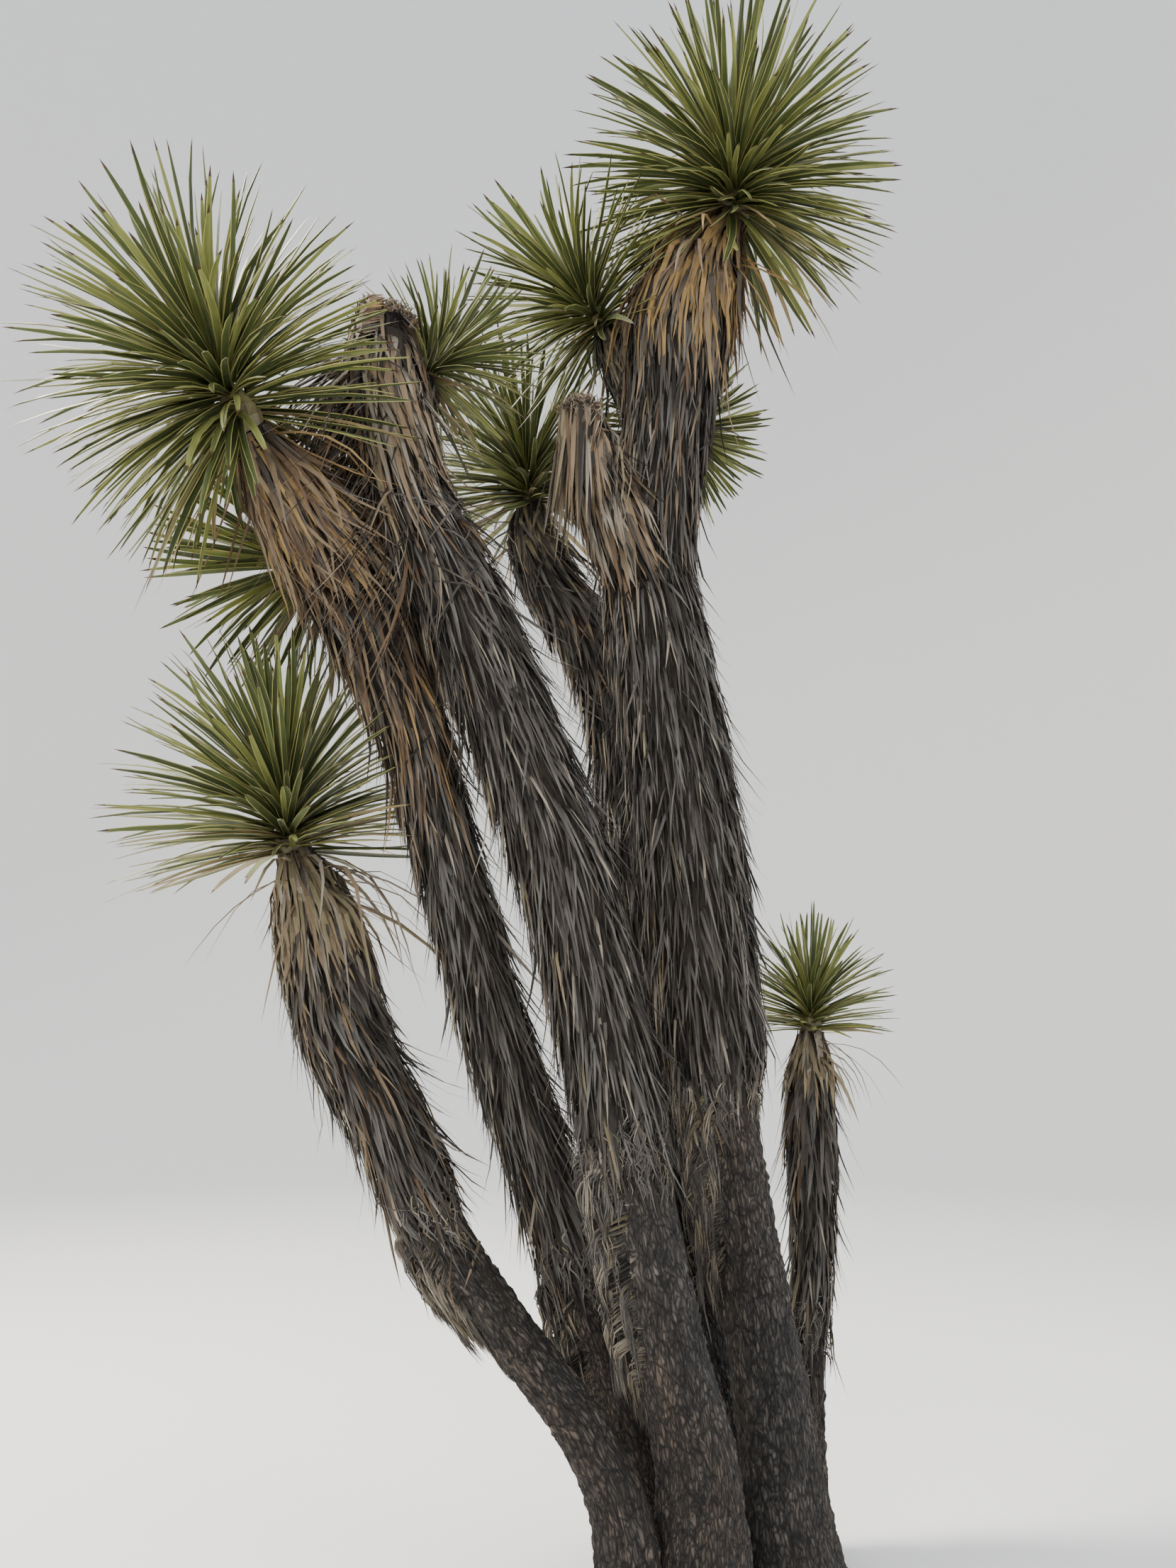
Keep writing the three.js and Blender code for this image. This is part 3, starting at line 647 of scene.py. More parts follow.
def makeBark(name, limb):
    piece = straightColumn(name.replace("_stem", "_trunk").replace("_bough", "_branch"), limb)
    modifier = piece.modifiers.new("finer", "SUBSURF")
    modifier.subdivision_type = "SIMPLE"
    modifier.levels = modifier.render_levels = barkSpec["levels"]
    selectOnly(piece)
    bpy.ops.object.modifier_apply(modifier=modifier.name)
    for texture, depth, stretch, middle in barkReliefs:
        displace(piece, texture, depth, stretch, middle)
    bendOntoLimb(piece, limb)
    piece.data.materials.append(barkMaterial)
    selectOnly(piece)
    bpy.ops.object.shade_smooth_by_angle(angle=math.radians(barkSpec["sharpAngle"]))
    finishPiece(piece, "bark", name)


for limbName, limb in limbs.items():
    makeBark(limbName, limb)
print("bark: columns drawn up, cracked and bent onto their limbs")


# Skirts of dead leaves
skirtSpec = {
    "ragged": 45 * mm,  # how uneven the lowest edge of the leaves is
    "rootless": 70 * mm,  # no leaf starts this close above the edge
    "sunk": 22 * mm,  # how deep a leaf's root lies under the outside
    "tier": 105 * mm,  # the leaves stand out in ragged tiers this far apart
    "neck": 150 * mm,  # below a full-size head, the zone where its last dead leaves start
}
places = {
    "leaf": np.array([0, 0.3, 0.66, 1]),
    "long": np.array([0, 0.1, 0.24, 0.42, 0.62, 0.82, 1]),
    "fibre": np.array([0, 0.18, 0.38, 0.6, 0.82, 1]),
}
flatSection = np.array([(0.5, 0.07), (-0.5, 0.07), (0, -0.13)])
shapes = {
    "leaf": {"section": flatSection, "profile": np.array([0.9, 1, 0.72, 0]), "covered": 0.65},
    "long": {"section": flatSection, "covered": 0.2,
             "profile": np.array([1, 0.96, 0.92, 0.86, 0.7, 0.4, 0])},
    "fibre": {"section": np.array([(0.5, 0.3), (-0.5, 0.3), (0, -0.5)]), "covered": 0.3,
              "profile": np.array([1, 0.9, 0.8, 0.65, 0.4, 0])},
}


# The lowest edge of the leaves themselves; only fibres hang on below it, on the left.
def leafEdge(limb, angle):
    if "skirtFrom" not in limb:
        return np.zeros_like(angle)
    seed = limb["seed"]
    wave = np.sin(angle * 3 + seed) + 0.7 * np.sin(angle * 7 - seed) + 0.5 * np.sin(angle * 13)
    return mix(limb["skirtFrom"] * mm, skirtEdge(limb, angle), 0.15) + wave * skirtSpec["ragged"] * 0.5


# Where the dead leaves start on a limb: not below the given height on a stem.
def lowestLeaf(limb, least, onBough):
    return max(least, limb["skirtFrom"] * mm - growth["fringeDrop"]) if "skirtFrom" in limb else onBough


def headSize(limb):
    return limb["head"]["size"] if "head" in limb else 0.8


# Moves what would lie in a limb out to its surface.
def pushOut(limb, paths, lift, shape):
    flat = paths.reshape(-1, 3)
    far, where = limb["line"].nearest(flat)
    centre = limb["line"].at(where)[0]
    wanted = limb["line"].girth(where) + np.repeat(lift, paths.shape[1])
    wanted = wanted * smooth(np.tile(places[shape], len(paths)), 0, 0.3)
    beyond = np.linalg.norm(flat - limb["line"].point[-1], axis=1) - limb["line"].radius[-1]
    ended = where >= limb["line"].length - 1e-6
    wanted = np.where(ended, np.minimum(wanted, np.maximum(far, beyond)), wanted)
    moved = np.where((far < wanted)[:, None], centre + unit(flat - centre) * wanted[:, None], flat)
    return moved.reshape(paths.shape)


# True for the paths that stay out of every other limb.
def clearOf(limb, paths, margin=0.0, skip=1, but=()):
    clear = np.ones(len(paths), bool)
    flat = paths[:, skip:, :].reshape(-1, 3)
    for name, other in limbs.items():
        if other is limb or name in but:
            continue
        far, where = other["line"].nearest(flat)
        inside = far < other["line"].girth(where) * 0.88 + margin
        clear &= ~inside.reshape(len(paths), -1).any(axis=1)
    return clear


toneZones = {  # shares of each tone
    "golden": {"goldenTan": 5, "tan": 4, "greyBrown": 1},
    "warm": {"tan": 5, "goldenTan": 1.5, "cinnamon": 3.5, "greyBrown": 2},
    "khaki": {"khaki": 4, "tan": 3, "paleGrey": 2.5, "greyBrown": 0.8},
    "dull": {"khaki": 3, "greyBrown": 5, "darkGrey": 2},
    "middle": {"tan": 0.9, "cinnamon": 0.7, "greyBrown": 5, "grey": 2.5, "darkGrey": 2.5},
    "old": {"greyBrown": 5, "grey": 4, "darkGrey": 4.4, "paleGrey": 0.5},
    "bleachedAndLit": {"paleGrey": 2, "tan": 2, "khaki": 1},
    "dead": {"tan": 5, "paleGrey": 2.5, "cinnamon": 1, "greyBrown": 2, "darkGrey": 0.6},
    "fibre": {"grey": 4, "khaki": 0.9, "greyBrown": 2.8, "paleGrey": 2, "darkGrey": 1.5},
}


def chooseTones(random, count, zone):
    weights = np.array(list(toneZones[zone].values()), float)
    index = np.array([deadIndex[name] for name in toneZones[zone]])
    return index[random.choice(len(index), count, p=weights / weights.sum())]


# A zone's tones for a share of the leaves, and the given tones or another zone's for the rest.
def eitherTones(random, count, share, zone, rest):
    picked = random.uniform(0, 1, count) < share
    chosen = chooseTones(random, count, zone)
    return np.where(picked, chosen, chooseTones(random, count, rest) if isinstance(rest, str) else rest)


# Turns a share of the leaves dark grey, as painted shade.
def darkenedAsShade(random, tones, share):
    return np.where(random.uniform(0, 1, len(tones)) < share, deadIndex["darkGrey"], tones)


freshReach = {"golden": 0.2, "warm": 0.3, "khaki": 0.09, "dull": 0.1}  # how far down the newest leaves reach


# Fresh tones under a head, greyer ones lower down, and pale ones on the left, partly bleached and partly
# painted light from that side.
def tonesByHeight(limb, random, below, angle):
    size = headSize(limb)
    count = len(below)
    neck = limb.get("neck", "dead")
    zone = below + random.normal(0, 50 * mm, count)
    tones = chooseTones(random, count, "old")
    middle = eitherTones(random, count, 0.6 * (neck == "warm"), "warm", "middle")
    tones = np.where(zone < 0.7 * size, middle, tones)
    tones = np.where(zone < freshReach.get(neck, 0.48) * size, chooseTones(random, count, neck), tones)
    # Pale leaves on the left side, which faces the light: partly sun-bleached, partly painted light.
    paintedSunlight = 0.22 * smooth(-np.cos(angle), 0.2, 1)
    return eitherTones(random, count, paintedSunlight, "bleachedAndLit", tones)


# Leaves that lie along the limb: down it, from under the coat to its outside.
# Under a leaning limb they hang a little free of it, and on its upper side their tips stand out.
def lyingLeaves(limb, random, s, angle, length, width, lift, flare, drift, tones, shape="leaf", arch=0.0):
    t = places[shape][None, :]
    along = s[:, None] - length[:, None] * t
    outside = coat(limb, along, angle[:, None])
    inner = np.maximum(coat(limb, s, angle) - skirtSpec["sunk"], limb["barkAt"](s) + 2 * mm)[:, None]
    _, tangent, out = outwards(limb, s, angle)
    lean = tangent - np.array([0, 0, 1.0])
    under = dot(lean, out)[:, 0]
    flare = flare * (1 - np.clip(under * 2, -0.7, 0))
    radius = mix(inner, outside + lift[:, None], smooth(t, 0, 0.42)) + flare[:, None] * t**2
    radius = radius + arch * np.sin(np.minimum(t * 1.6, 1) * math.pi)
    radius = np.maximum(radius, limb["barkAt"](along) + 3 * mm)
    turn = angle[:, None] + drift[:, None] * t / np.maximum(radius, 30 * mm)
    paths = pointAt(limb, along, turn, radius)
    sag = lean * (np.clip(under * 3, 0, 0.2) * length)[:, None]
    paths = paths + sag[:, None, :] * (t**2)[..., None]
    roll = random.normal(0, 0.45, (len(s), 1))
    sides = unit(unit(np.cross(tangent, out)) + out * roll)
    return bladeBatch(random, shape, paths, width, tones, sides, clearOf(limb, paths))


# Leaves that start at an angle from the limb and then hang by their own weight, outside some other limbs too.
def hangingLeaves(limb, random, s, angle, length, width, rise, spread, tones, settle, keepFree=(), inner=1):
    point, tangent, out = outwards(limb, s, angle)
    root = point + out * (np.maximum(limb["barkAt"](s), limb["line"].girth(s) * 0.55) * inner)[:, None]
    start = unit(out * np.cos(rise)[:, None] + tangent * np.sin(rise)[:, None])
    down = unit(np.array([0, 0, -1.0]) + out * spread[:, None] + random.normal(0, 0.07, (len(s), 3)))
    marks = places["long"]
    points = [root]
    for low, high in zip(marks, marks[1:]):
        direction = unit(mix(start, down, smooth((low + high) / 2, 0, settle)))
        points.append(points[-1] + direction * (length * (high - low))[:, None])
    paths = np.stack(points, axis=1)
    lift = random.uniform(0, 9, len(s)) * mm
    for other in (limb, *(limbs[name] for name in keepFree)):
        paths = pushOut(other, paths, lift, "long")
    sides = unit(np.cross(tangent, out) + out * random.normal(0, 0.5, (len(s), 1)))
    return bladeBatch(random, "long", paths, width, tones, sides, clearOf(limb, paths, but=keepFree))


coatSpec = {
    "perArea": 5900,  # leaves for each square metre of limb
    "width": (3.9 * mm, 6.9 * mm),
    "length": (80 * mm, 175 * mm),
    "flare": 23 * mm,  # how far a tip stands out
    "drift": 15 * mm,  # how far a tip strays sideways
    "lift": (-13 * mm, 4 * mm),  # deep ones are painted dark, as shade between the leaves
}


def coatLeaves(limb, random):
    line = limb["line"]
    lowest = lowestLeaf(limb, 0.15, 40 * mm)
    girth = np.mean(line.girth(np.linspace(lowest, line.length, 40)))
    count = int(2 * math.pi * girth * (line.length - lowest) * coatSpec["perArea"])
    share = (np.arange(count) + random.uniform(0, 1, count)) / count
    s = mix(lowest, line.length - 6 * mm, share)
    angle = np.arange(count) * goldenAngle + random.normal(0, 0.2, count)
    length = random.uniform(*coatSpec["length"], count) * (0.75 + 0.25 * headSize(limb))
    room = s - leafEdge(limb, angle) + random.normal(0, 25 * mm, count)
    kept = room > skirtSpec["rootless"]
    s, angle, length, room = s[kept], angle[kept], length[kept], room[kept]
    count = len(s)
    length = np.minimum(length, room + 30 * mm)
    below = line.length - s
    near = 1 - smooth(below, 0.1, 0.45)
    width = random.uniform(*coatSpec["width"], count) * mix(1, 1.9, near)
    tier = (s / skirtSpec["tier"] + angle / math.pi + 0.35 * np.sin(angle * 2 + s * 9)) % 1
    high = random.uniform(0, 1, count)
    lift = mix(*coatSpec["lift"], high)
    flare = random.uniform(0, 1, count) ** 2 * coatSpec["flare"] * (0.3 + 1.3 * smooth(tier, 0.5, 1)) * high
    drift = random.normal(0, 1, count) * coatSpec["drift"]
    tones = tonesByHeight(limb, random, below, angle)
    # Deep leaves, low under the others, are painted dark grey as shade in the gaps.
    tones = darkenedAsShade(random, tones, 1.05 - 1.75 * high)
    kept = ~inHollow(limb, s, angle)
    parts = s, angle, length, width, lift, flare, drift, tones
    return lyingLeaves(limb, random, *(part[kept] for part in parts))


# The dark hollow in the front stem's broken top.
def inHollow(limb, s, angle):
    if "hollow" not in limb:
        return np.zeros(np.shape(s), bool)
    aside = np.abs((angle - limb["hollow"] + math.pi) % (2 * math.pi) - math.pi)
    return (aside < 0.5) & (s > limb["line"].length - 62 * mm)


# Flare is how far a tip stands out, as a share of the leaf's length.
looseSpec = {
    "strays": {"perMetre": 60, "above": 120 * mm, "length": (100 * mm, 240 * mm),
               "width": (4 * mm, 7.5 * mm), "lift": 3 * mm, "flare": (1 / 12, 1 / 3), "drift": 45 * mm},
    "spines": {"perMetre": 170, "above": 100 * mm, "length": (60 * mm, 140 * mm),
               "width": (2.4 * mm, 4.4 * mm), "lift": 2 * mm, "flare": (0.12, 0.42), "drift": 14 * mm},
}


# Leaves that stand out: long strays, and thin worn ones whose sharp tips show all along the limb.
def looseLeaves(limb, random, kind):
    spec = looseSpec[kind]
    top = limb["line"].length
    lowest = limb.get("skirtFrom", 0) * mm
    count = int(spec["perMetre"] * (top - lowest))
    s, angle, length, width, flare = drawn(random, count, (lowest + spec["above"], top), (0, 2 * math.pi),
                                           spec["length"], spec["width"], spec["flare"])
    drift = random.normal(0, spec["drift"], count)
    old = kind == "spines"
    tones = chooseTones(random, count, "old") if old else tonesByHeight(limb, random, top - s, angle)
    lift = np.full(count, spec["lift"])
    return lyingLeaves(limb, random, s, angle, length, width, lift, flare * length, drift, tones)


# Broken leaves that have come loose and lie slantwise over the others.
def crossLeaves(limb, random, count, low, high):
    s = limb["line"].length - random.uniform(low, high, count)
    angle = -math.pi / 2 + random.normal(0, 1, count)
    _, tangent, out = outwards(limb, s, angle)
    slant = random.uniform(0.35, 1.05, count) * random.choice([-1, 1], count)
    heading = np.cross(tangent, out) * np.sin(slant)[:, None] - tangent * np.cos(slant)[:, None]
    length, above, bow = drawn(random, count, (0.06, 0.17), (6 * mm, 11 * mm), (-0.3, -0.05))
    t = (places["leaf"] - 0.5)[None, :, None]
    middle = pointAt(limb, s, angle, coat(limb, s, angle) + above)
    bend = (out * (bow * length)[:, None])[:, None, :] * (2 * t) ** 2
    paths = middle[:, None, :] + heading[:, None, :] * (length[:, None, None] * t) + bend
    width = random.uniform(3 * mm, 5.5 * mm, count)
    tones = chooseTones(random, count, "middle")
    kept = clearOf(limb, paths, skip=0)
    return bladeBatch(random, "leaf", paths, width, tones, np.cross(heading, out), kept)


# The fibres of rotted leaf bases, in tufts: matted round the lowest edge, and a curly curtain on the left.
fringeSpec = {"curtain": 3400, "matted": 900, "tuft": 16, "length": (40 * mm, 110 * mm),
              "width": (2.2 * mm, 4.2 * mm), "curl": 40 * mm}


def fringeFibres(limb, random):
    share = (limb["bark"][0] / 64) ** 2
    curtain, matted = (int(fringeSpec[name] * share) for name in ("curtain", "matted"))
    count = curtain + matted
    tufts = curtain // fringeSpec["tuft"]
    tuft = random.integers(0, tufts, count)
    around = np.clip(random.normal(0, 0.33, tufts), -1, 1)[tuft]
    angle = math.pi + limb.get("curtainAt", 0.2) + around + random.normal(0, 0.04, count)
    angle[curtain:] = random.uniform(0, 2 * math.pi, matted)
    high = leafEdge(limb, angle) + 110 * mm
    low = mix(high - 100 * mm, np.maximum(skirtEdge(limb, angle) - 10 * mm, 0.12), limb.get("curtain", 1))
    low[curtain:] = high[curtain:] - 115 * mm
    height = random.uniform(0, 1, tufts)[tuft] + random.normal(0, 0.012, count)
    height[curtain:] = random.uniform(0, 1, matted)
    s = mix(low, np.maximum(high, low + 10 * mm), np.clip(height, 0, 1) ** 0.85)
    length = random.uniform(*fringeSpec["length"], tufts)[tuft] * random.uniform(0.7, 1, count)
    length[curtain:] *= 0.55
    t = places["fibre"][None, :]
    bark = limb["barkAt"](s)[:, None]
    curl = random.uniform(0.3, 1.2, tufts)[tuft] * random.uniform(0.75, 1, count) * fringeSpec["curl"]
    curl[curtain:] *= 0.6
    curl = (curl * smooth(s, low - 20 * mm, low + 90 * mm))[:, None]
    phase = (random.uniform(0, 6.3, tufts)[tuft] + random.normal(0, 0.4, count))[:, None]
    radius = bark - 2 * mm + curl * smooth(t, 0, 0.5) + 3 * mm * np.sin(t * 6 + phase) * t
    along = s[:, None] - length[:, None] * t**1.3 + 6 * mm * np.sin(t * math.pi)
    sweep = (random.normal(0.4, 0.14, tufts)[tuft] + random.normal(0, 0.04, count))[:, None]
    turn = angle[:, None] + sweep * (0.5 - smooth(t, 0, 0.45)) + 0.1 * np.sin(t * 7 + phase)
    paths = pointAt(limb, np.maximum(along, 15 * mm), turn, radius)
    _, _, right, back = limb["line"].at(s)
    sides = unit(right * -np.sin(angle)[:, None] + back * np.cos(angle)[:, None])
    width = random.uniform(*fringeSpec["width"], count)
    tones = np.where(random.uniform(0, 1, count) < 0.7, chooseTones(random, tufts, "fibre")[tuft],
                     chooseTones(random, count, "fibre"))
    return bladeBatch(random, "fibre", paths, width, tones, sides, clearOf(limb, paths))


# The last dead leaves, broad and pale, that fold down from under a green head.
neckSpec = {
    "count": 170,
    "length": (150 * mm, 290 * mm),
    "width": (9 * mm, 16 * mm),
    "kinds": {  # length, width, flare and drift of each kind's leaves
        "golden": (1.2, 1, 1, 1),
        "warm": (1, 0.62, 1, 2.2),
        "khaki": (0.72, 0.75, 0.6, 0.7),
        "dull": (0.6, 0.7, 0.8, 1),
    },
    "flare": 24 * mm,
    "drift": 26 * mm,
    "arch": 4 * mm,
    "strays": {"golden": 16, "warm": 16, "khaki": 30, "dull": 16},
}


def neckLeaves(limb, random):
    size, kind = limb["head"]["size"], limb["neck"]
    stretch, broad, stand, aside = neckSpec["kinds"][kind]
    count = int(neckSpec["count"] * size**1.3 / broad)
    s = limb["line"].length - skirtSpec["neck"] * size * (random.uniform(0, 1, count) ** 1.3 - 0.04)
    angle = np.arange(count) * goldenAngle
    length, width, high = drawn(random, count, neckSpec["length"], neckSpec["width"], (0, 1))
    flare = random.uniform(0, 1, count) ** 2 * neckSpec["flare"] * size * high * stand
    drift = random.normal(0, 1, count) * neckSpec["drift"] * size * aside
    # Deep leaves take the old, greyer and darker tones, as painted shade in the gaps.
    tones = eitherTones(random, count, 0.6 - 1.4 * high, "old", chooseTones(random, count, kind))
    return lyingLeaves(limb, random, s, angle, length * size * stretch, width * math.sqrt(size) * broad,
                       mix(-7, 6, high) * mm, flare, drift, tones, "long", neckSpec["arch"] * size)


# A few long dead leaves that stand off under a head and arch down, mostly on the right at a khaki neck.
def neckStrays(limb, random):
    size, kind = limb["head"]["size"], limb["neck"]
    count = int(neckSpec["strays"][kind] * size**2)
    below, angle = drawn(random, count, (0.01, 0.1), (0, 2 * math.pi))
    if kind == "khaki":
        angle = random.normal(-0.3, 1, count)
    length, width, rise, spread = drawn(random, count, (0.2, 0.4), (6 * mm, 10 * mm),
                                        (-0.8, 0.1), (0.2, 0.9))
    return hangingLeaves(limb, random, limb["line"].length - below * size, angle, length * size, width,
                         rise, spread, chooseTones(random, count, kind), 0.9)


# A dead bough's top: a mop of long leaves that fall over it on all sides.
mopSpec = {"count": 210, "length": (110 * mm, 290 * mm), "width": (6 * mm, 12 * mm)}


def mopLeaves(limb, random):
    count = mopSpec["count"]
    angle = np.arange(count) * goldenAngle
    inner, length, width, rise, spread, pick = drawn(
        random, count, (0.15, 1), mopSpec["length"], mopSpec["width"], (0.1, 1.2), (0, 0.12), (0, 1))
    s = limb["line"].length + (14 - 60 * inner**2) * mm
    tones = np.where(pick < 0.45, chooseTones(random, count, "bleachedAndLit"), chooseTones(random, count, "dead"))
    # A fifth of the leaves, dealt at random, are dark grey as painted shade among them.
    tones = np.where(pick > 0.8, deadIndex["darkGrey"], tones)
    return hangingLeaves(limb, random, s, angle, length, width, rise, spread, tones, 0.16,
                         ["main_stem"], inner)


# The front stem's broken top: torn and curled leaf bases, and pale leaves that hang from them.
brokenSpec = {"tornLeaves": 50, "paleLeaves": 190, "sweptLeaves": 420, "crossLeaves": 30, "curls": 14}
frizzCount = 700


# Frizzled fibres on a dead top: their reach, how near its middle they start and how high above its end.
def frizz(limb, random, reach, inner, above):
    count = frizzCount
    line = limb["line"]
    angle, share = drawn(random, count, (0, 2 * math.pi), (inner, 1))
    s = line.length + above - 40 * mm * share**3 * random.uniform(0, 1, count)
    point, tangent, out = outwards(limb, s, angle)
    root = point + out * (line.girth(s) * share)[:, None]
    heading = unit(out * random.uniform(0.1, 1.2, (count, 1)) + tangent * random.uniform(0.2, 1, (count, 1)))
    length = random.uniform(0.4, 1, count) * reach
    t = places["fibre"][None, :, None]
    curl = unit(random.normal(0, 1, (count, 3)))
    turns = random.uniform(2, 6, (count, 1, 1)) * t
    other = np.cross(heading, curl)[:, None, :]
    loose = (curl[:, None, :] * np.sin(turns) + other * (1 - np.cos(turns))) * 0.4
    paths = root[:, None, :] + (heading[:, None, :] * t * (1 - 0.5 * t) + loose * t) * length[:, None, None]
    width = random.uniform(1.6 * mm, 3.4 * mm, count)
    tones = chooseTones(random, count, "dead")
    return bladeBatch(random, "fibre", paths, width, tones, unit(np.cross(heading, curl)))


# Old leaf bases curled up one over the other beside the hollow.
def curledBases(limb, random):
    count = brokenSpec["curls"]
    t = places["long"][None, :]
    bulge = np.sin(t * math.pi)
    turn = limb["hollow"] - 0.85 + (t - 0.5) * 0.8 + random.normal(0, 0.05, (count, 1))
    s = limb["line"].length - np.linspace(2, 84, count)[:, None] * mm + (6 - 13 * bulge) * mm
    radius = limb["line"].girth(s) + (11 * bulge - 3) * mm
    width = random.uniform(6 * mm, 9 * mm, count)
    tones = chooseTones(random, count, "warm")
    _, sides, _, _ = limb["line"].at(s[:, 0])
    return bladeBatch(random, "long", pointAt(limb, s, turn, radius), width, tones, sides)


def tornBases(limb, random):
    count = brokenSpec["tornLeaves"]
    angle = np.arange(count) * goldenAngle
    s = limb["line"].length - random.uniform(12 * mm, 55 * mm, count)
    point, tangent, out = outwards(limb, s, angle)
    inner, length = drawn(random, count, (0.6, 0.95), (12 * mm, 28 * mm))
    root = point + out * (limb["line"].girth(s) * inner)[:, None]
    t = places["leaf"][None, :, None]
    bend = out[:, None, :] * random.uniform(0, 1.3, (count, 1, 1)) * t**2
    paths = root[:, None, :] + (tangent[:, None, :] * t + bend) * length[:, None, None]
    width = random.uniform(8 * mm, 15 * mm, count)
    tones = chooseTones(random, count, "dead")
    return bladeBatch(random, "leaf", paths, width, tones, np.cross(tangent, out), ~inHollow(limb, s, angle))


def paleLeaves(limb, random):
    count = brokenSpec["paleLeaves"]
    s = limb["line"].length - random.uniform(-4 * mm, 230 * mm, count)
    angle = np.arange(count) * goldenAngle
    kept = ~inHollow(limb, s, angle)
    s, angle, count = s[kept], angle[kept], kept.sum()
    length, width, high, flare = drawn(random, count, (0.18, 0.38), (7 * mm, 15 * mm), (0, 1), (0, 14 * mm))
    drift = random.normal(0, 20 * mm, count)
    tones = eitherTones(random, count, 0.5, "bleachedAndLit", "dead")
    # Deep ones, low under the others, are painted dark grey as shade.
    tones = np.where(high < 0.3, deadIndex["darkGrey"], tones)
    lift = mix(-8, 7, high) * mm
    return lyingLeaves(limb, random, s, angle, length, width, lift, flare, drift, tones, "long")


# Long leaves that sweep down to the left, over the left stem's neck.
def sweptLeaves(limb, random):
    count = brokenSpec["sweptLeaves"]
    s = limb["line"].length - (75 + 420 * random.uniform(0, 1, count) ** 1.4) * mm
    angle = math.pi + random.normal(0, 0.7, count)
    length, width, rise, spread, pick = drawn(
        random, count, (0.2, 0.38), (4 * mm, 8 * mm), (-1.2, -0.35), (0.2, 1.1), (0, 1))
    tones = np.where(pick < 0.3, deadIndex["darkGrey"], chooseTones(random, count, "dead"))
    return hangingLeaves(limb, random, s, angle, length, width, rise, spread, tones, 0.9, ["left_stem"])


def brokenTop(limb, random):
    return [paleLeaves(limb, random), sweptLeaves(limb, random),
            crossLeaves(limb, random, brokenSpec["crossLeaves"], 0.1, 0.7), tornBases(limb, random),
            frizz(limb, random, 22 * mm, 0.6, -4 * mm), curledBases(limb, random)]


# Makes one of the pieces that stand for a skirt, and counts its triangles.
def skirtPiece(name, kind, batches, materials):
    short = name.split("_")[0]
    piece = meshPiece(short + kind, batches, materials)
    finishPiece(piece, "dead_leaves", short + "_skirt")
    return len(piece.data.polygons)


def buildDeadLeaves(name, limb):
    random = np.random.default_rng(limb["seed"] * 97)
    batches = [coatLeaves(limb, random)]
    batches += [looseLeaves(limb, random, kind) for kind in looseSpec]
    if limb["line"].length > 1:
        batches.append(crossLeaves(limb, random, 8, 0.15, 0.9))
    if "head" in limb:
        batches += [neckLeaves(limb, random), neckStrays(limb, random)]
    if name == "dead_bough":
        batches += [mopLeaves(limb, random), frizz(limb, random, 24 * mm, 0.2, 26 * mm)]
    if name == "front_stem":
        batches += brokenTop(limb, random)
    triangles = skirtPiece(name, "_dead_leaves", batches, deadMaterials)
    if "skirtFrom" in limb:
        skirtPiece(name, "_fringe", [fringeFibres(limb, random)], deadMaterials)
    return triangles


# The imported old leaf bases under the hanging ones, a dark sleeve with a ragged relief. Its near-black
# colour is painted shade that shows in the gaps between the leaves.
thatchSpec = {"sides": 36, "step": 22 * mm, "under": 12 * mm, "rough": 5 * mm}
thatchShadeMaterial = leafMaterial("thatch", (0.012, 0.009, 0.007), (0.036, 0.028, 0.021), 0.95, 1.0)


def buildThatch(name, limb):
    random = np.random.default_rng(limb["seed"] * 61)
    line = limb["line"]
    lowest = lowestLeaf(limb, 0.12, 20 * mm)
    top = line.length - 2 * mm if "head" in limb else line.length + 4 * mm
    s = np.linspace(lowest, top, max(6, int((top - lowest) / thatchSpec["step"])))[:, None]
    angle = np.linspace(0, 2 * math.pi, thatchSpec["sides"], endpoint=False)[None, :]
    s, angle = np.broadcast_arrays(s, angle)
    rough = random.uniform(-1, 1, s.shape) * thatchSpec["rough"]
    radius = coat(limb, s, angle) - thatchSpec["under"] + rough
    cover = smooth(s, leafEdge(limb, angle) + 10 * mm, leafEdge(limb, angle) + 120 * mm)
    bark = limb["barkAt"](s)
    radius = np.where(cover > 0.02, mix(bark * 0.95, np.maximum(radius, bark + 1.5 * mm), cover), bark * 0.9)
    radius = np.where(inHollow(limb, s, angle), radius * 0.5, radius)
    radius[-1] *= 0.6
    flat = pointAt(limb, s, angle, radius)
    flat = np.concatenate([flat.reshape(-1, 3), flat[[0, -1]].mean(axis=1)])
    rows, columns = s.shape
    faces = []
    for i in range(columns):
        j = (i + 1) % columns
        top = (rows - 1) * columns
        faces += [(rows * columns, j, i), (rows * columns + 1, top + i, top + j)]
        for k in range(rows - 1):
            a, b = k * columns + i, k * columns + j
            faces += [(a, b, b + columns), (a, b + columns, a + columns)]
    batch = {"points": flat, "faces": np.array(faces), "slots": np.zeros(len(faces)),
             "map": np.stack([flat[:, 0] + flat[:, 1], flat[:, 2]], axis=1), "along": np.ones(len(flat))}
    skirtPiece(name, "_thatch", [batch], [thatchShadeMaterial])


for limbName, limb in limbs.items():
    buildThatch(limbName, limb)
    print("dead leaves on", limbName, buildDeadLeaves(limbName, limb), "triangles")


# Heads of dagger leaves
bladeSpec = {
    "places": np.array([0, 0.08, 0.3, 0.58, 0.8, 0.94, 1]),
    "width": 12.5 * mm,
    "sag": 0.035,
    "riseLow": 0.1,  # how high up the core the drooping and the upright leaves start
    "riseHigh": 0.6,
    "rootOut": 0.62,  # a blade starts this far out in the core
    "turnUp": 0.1,  # and a little more upright than it ends
}


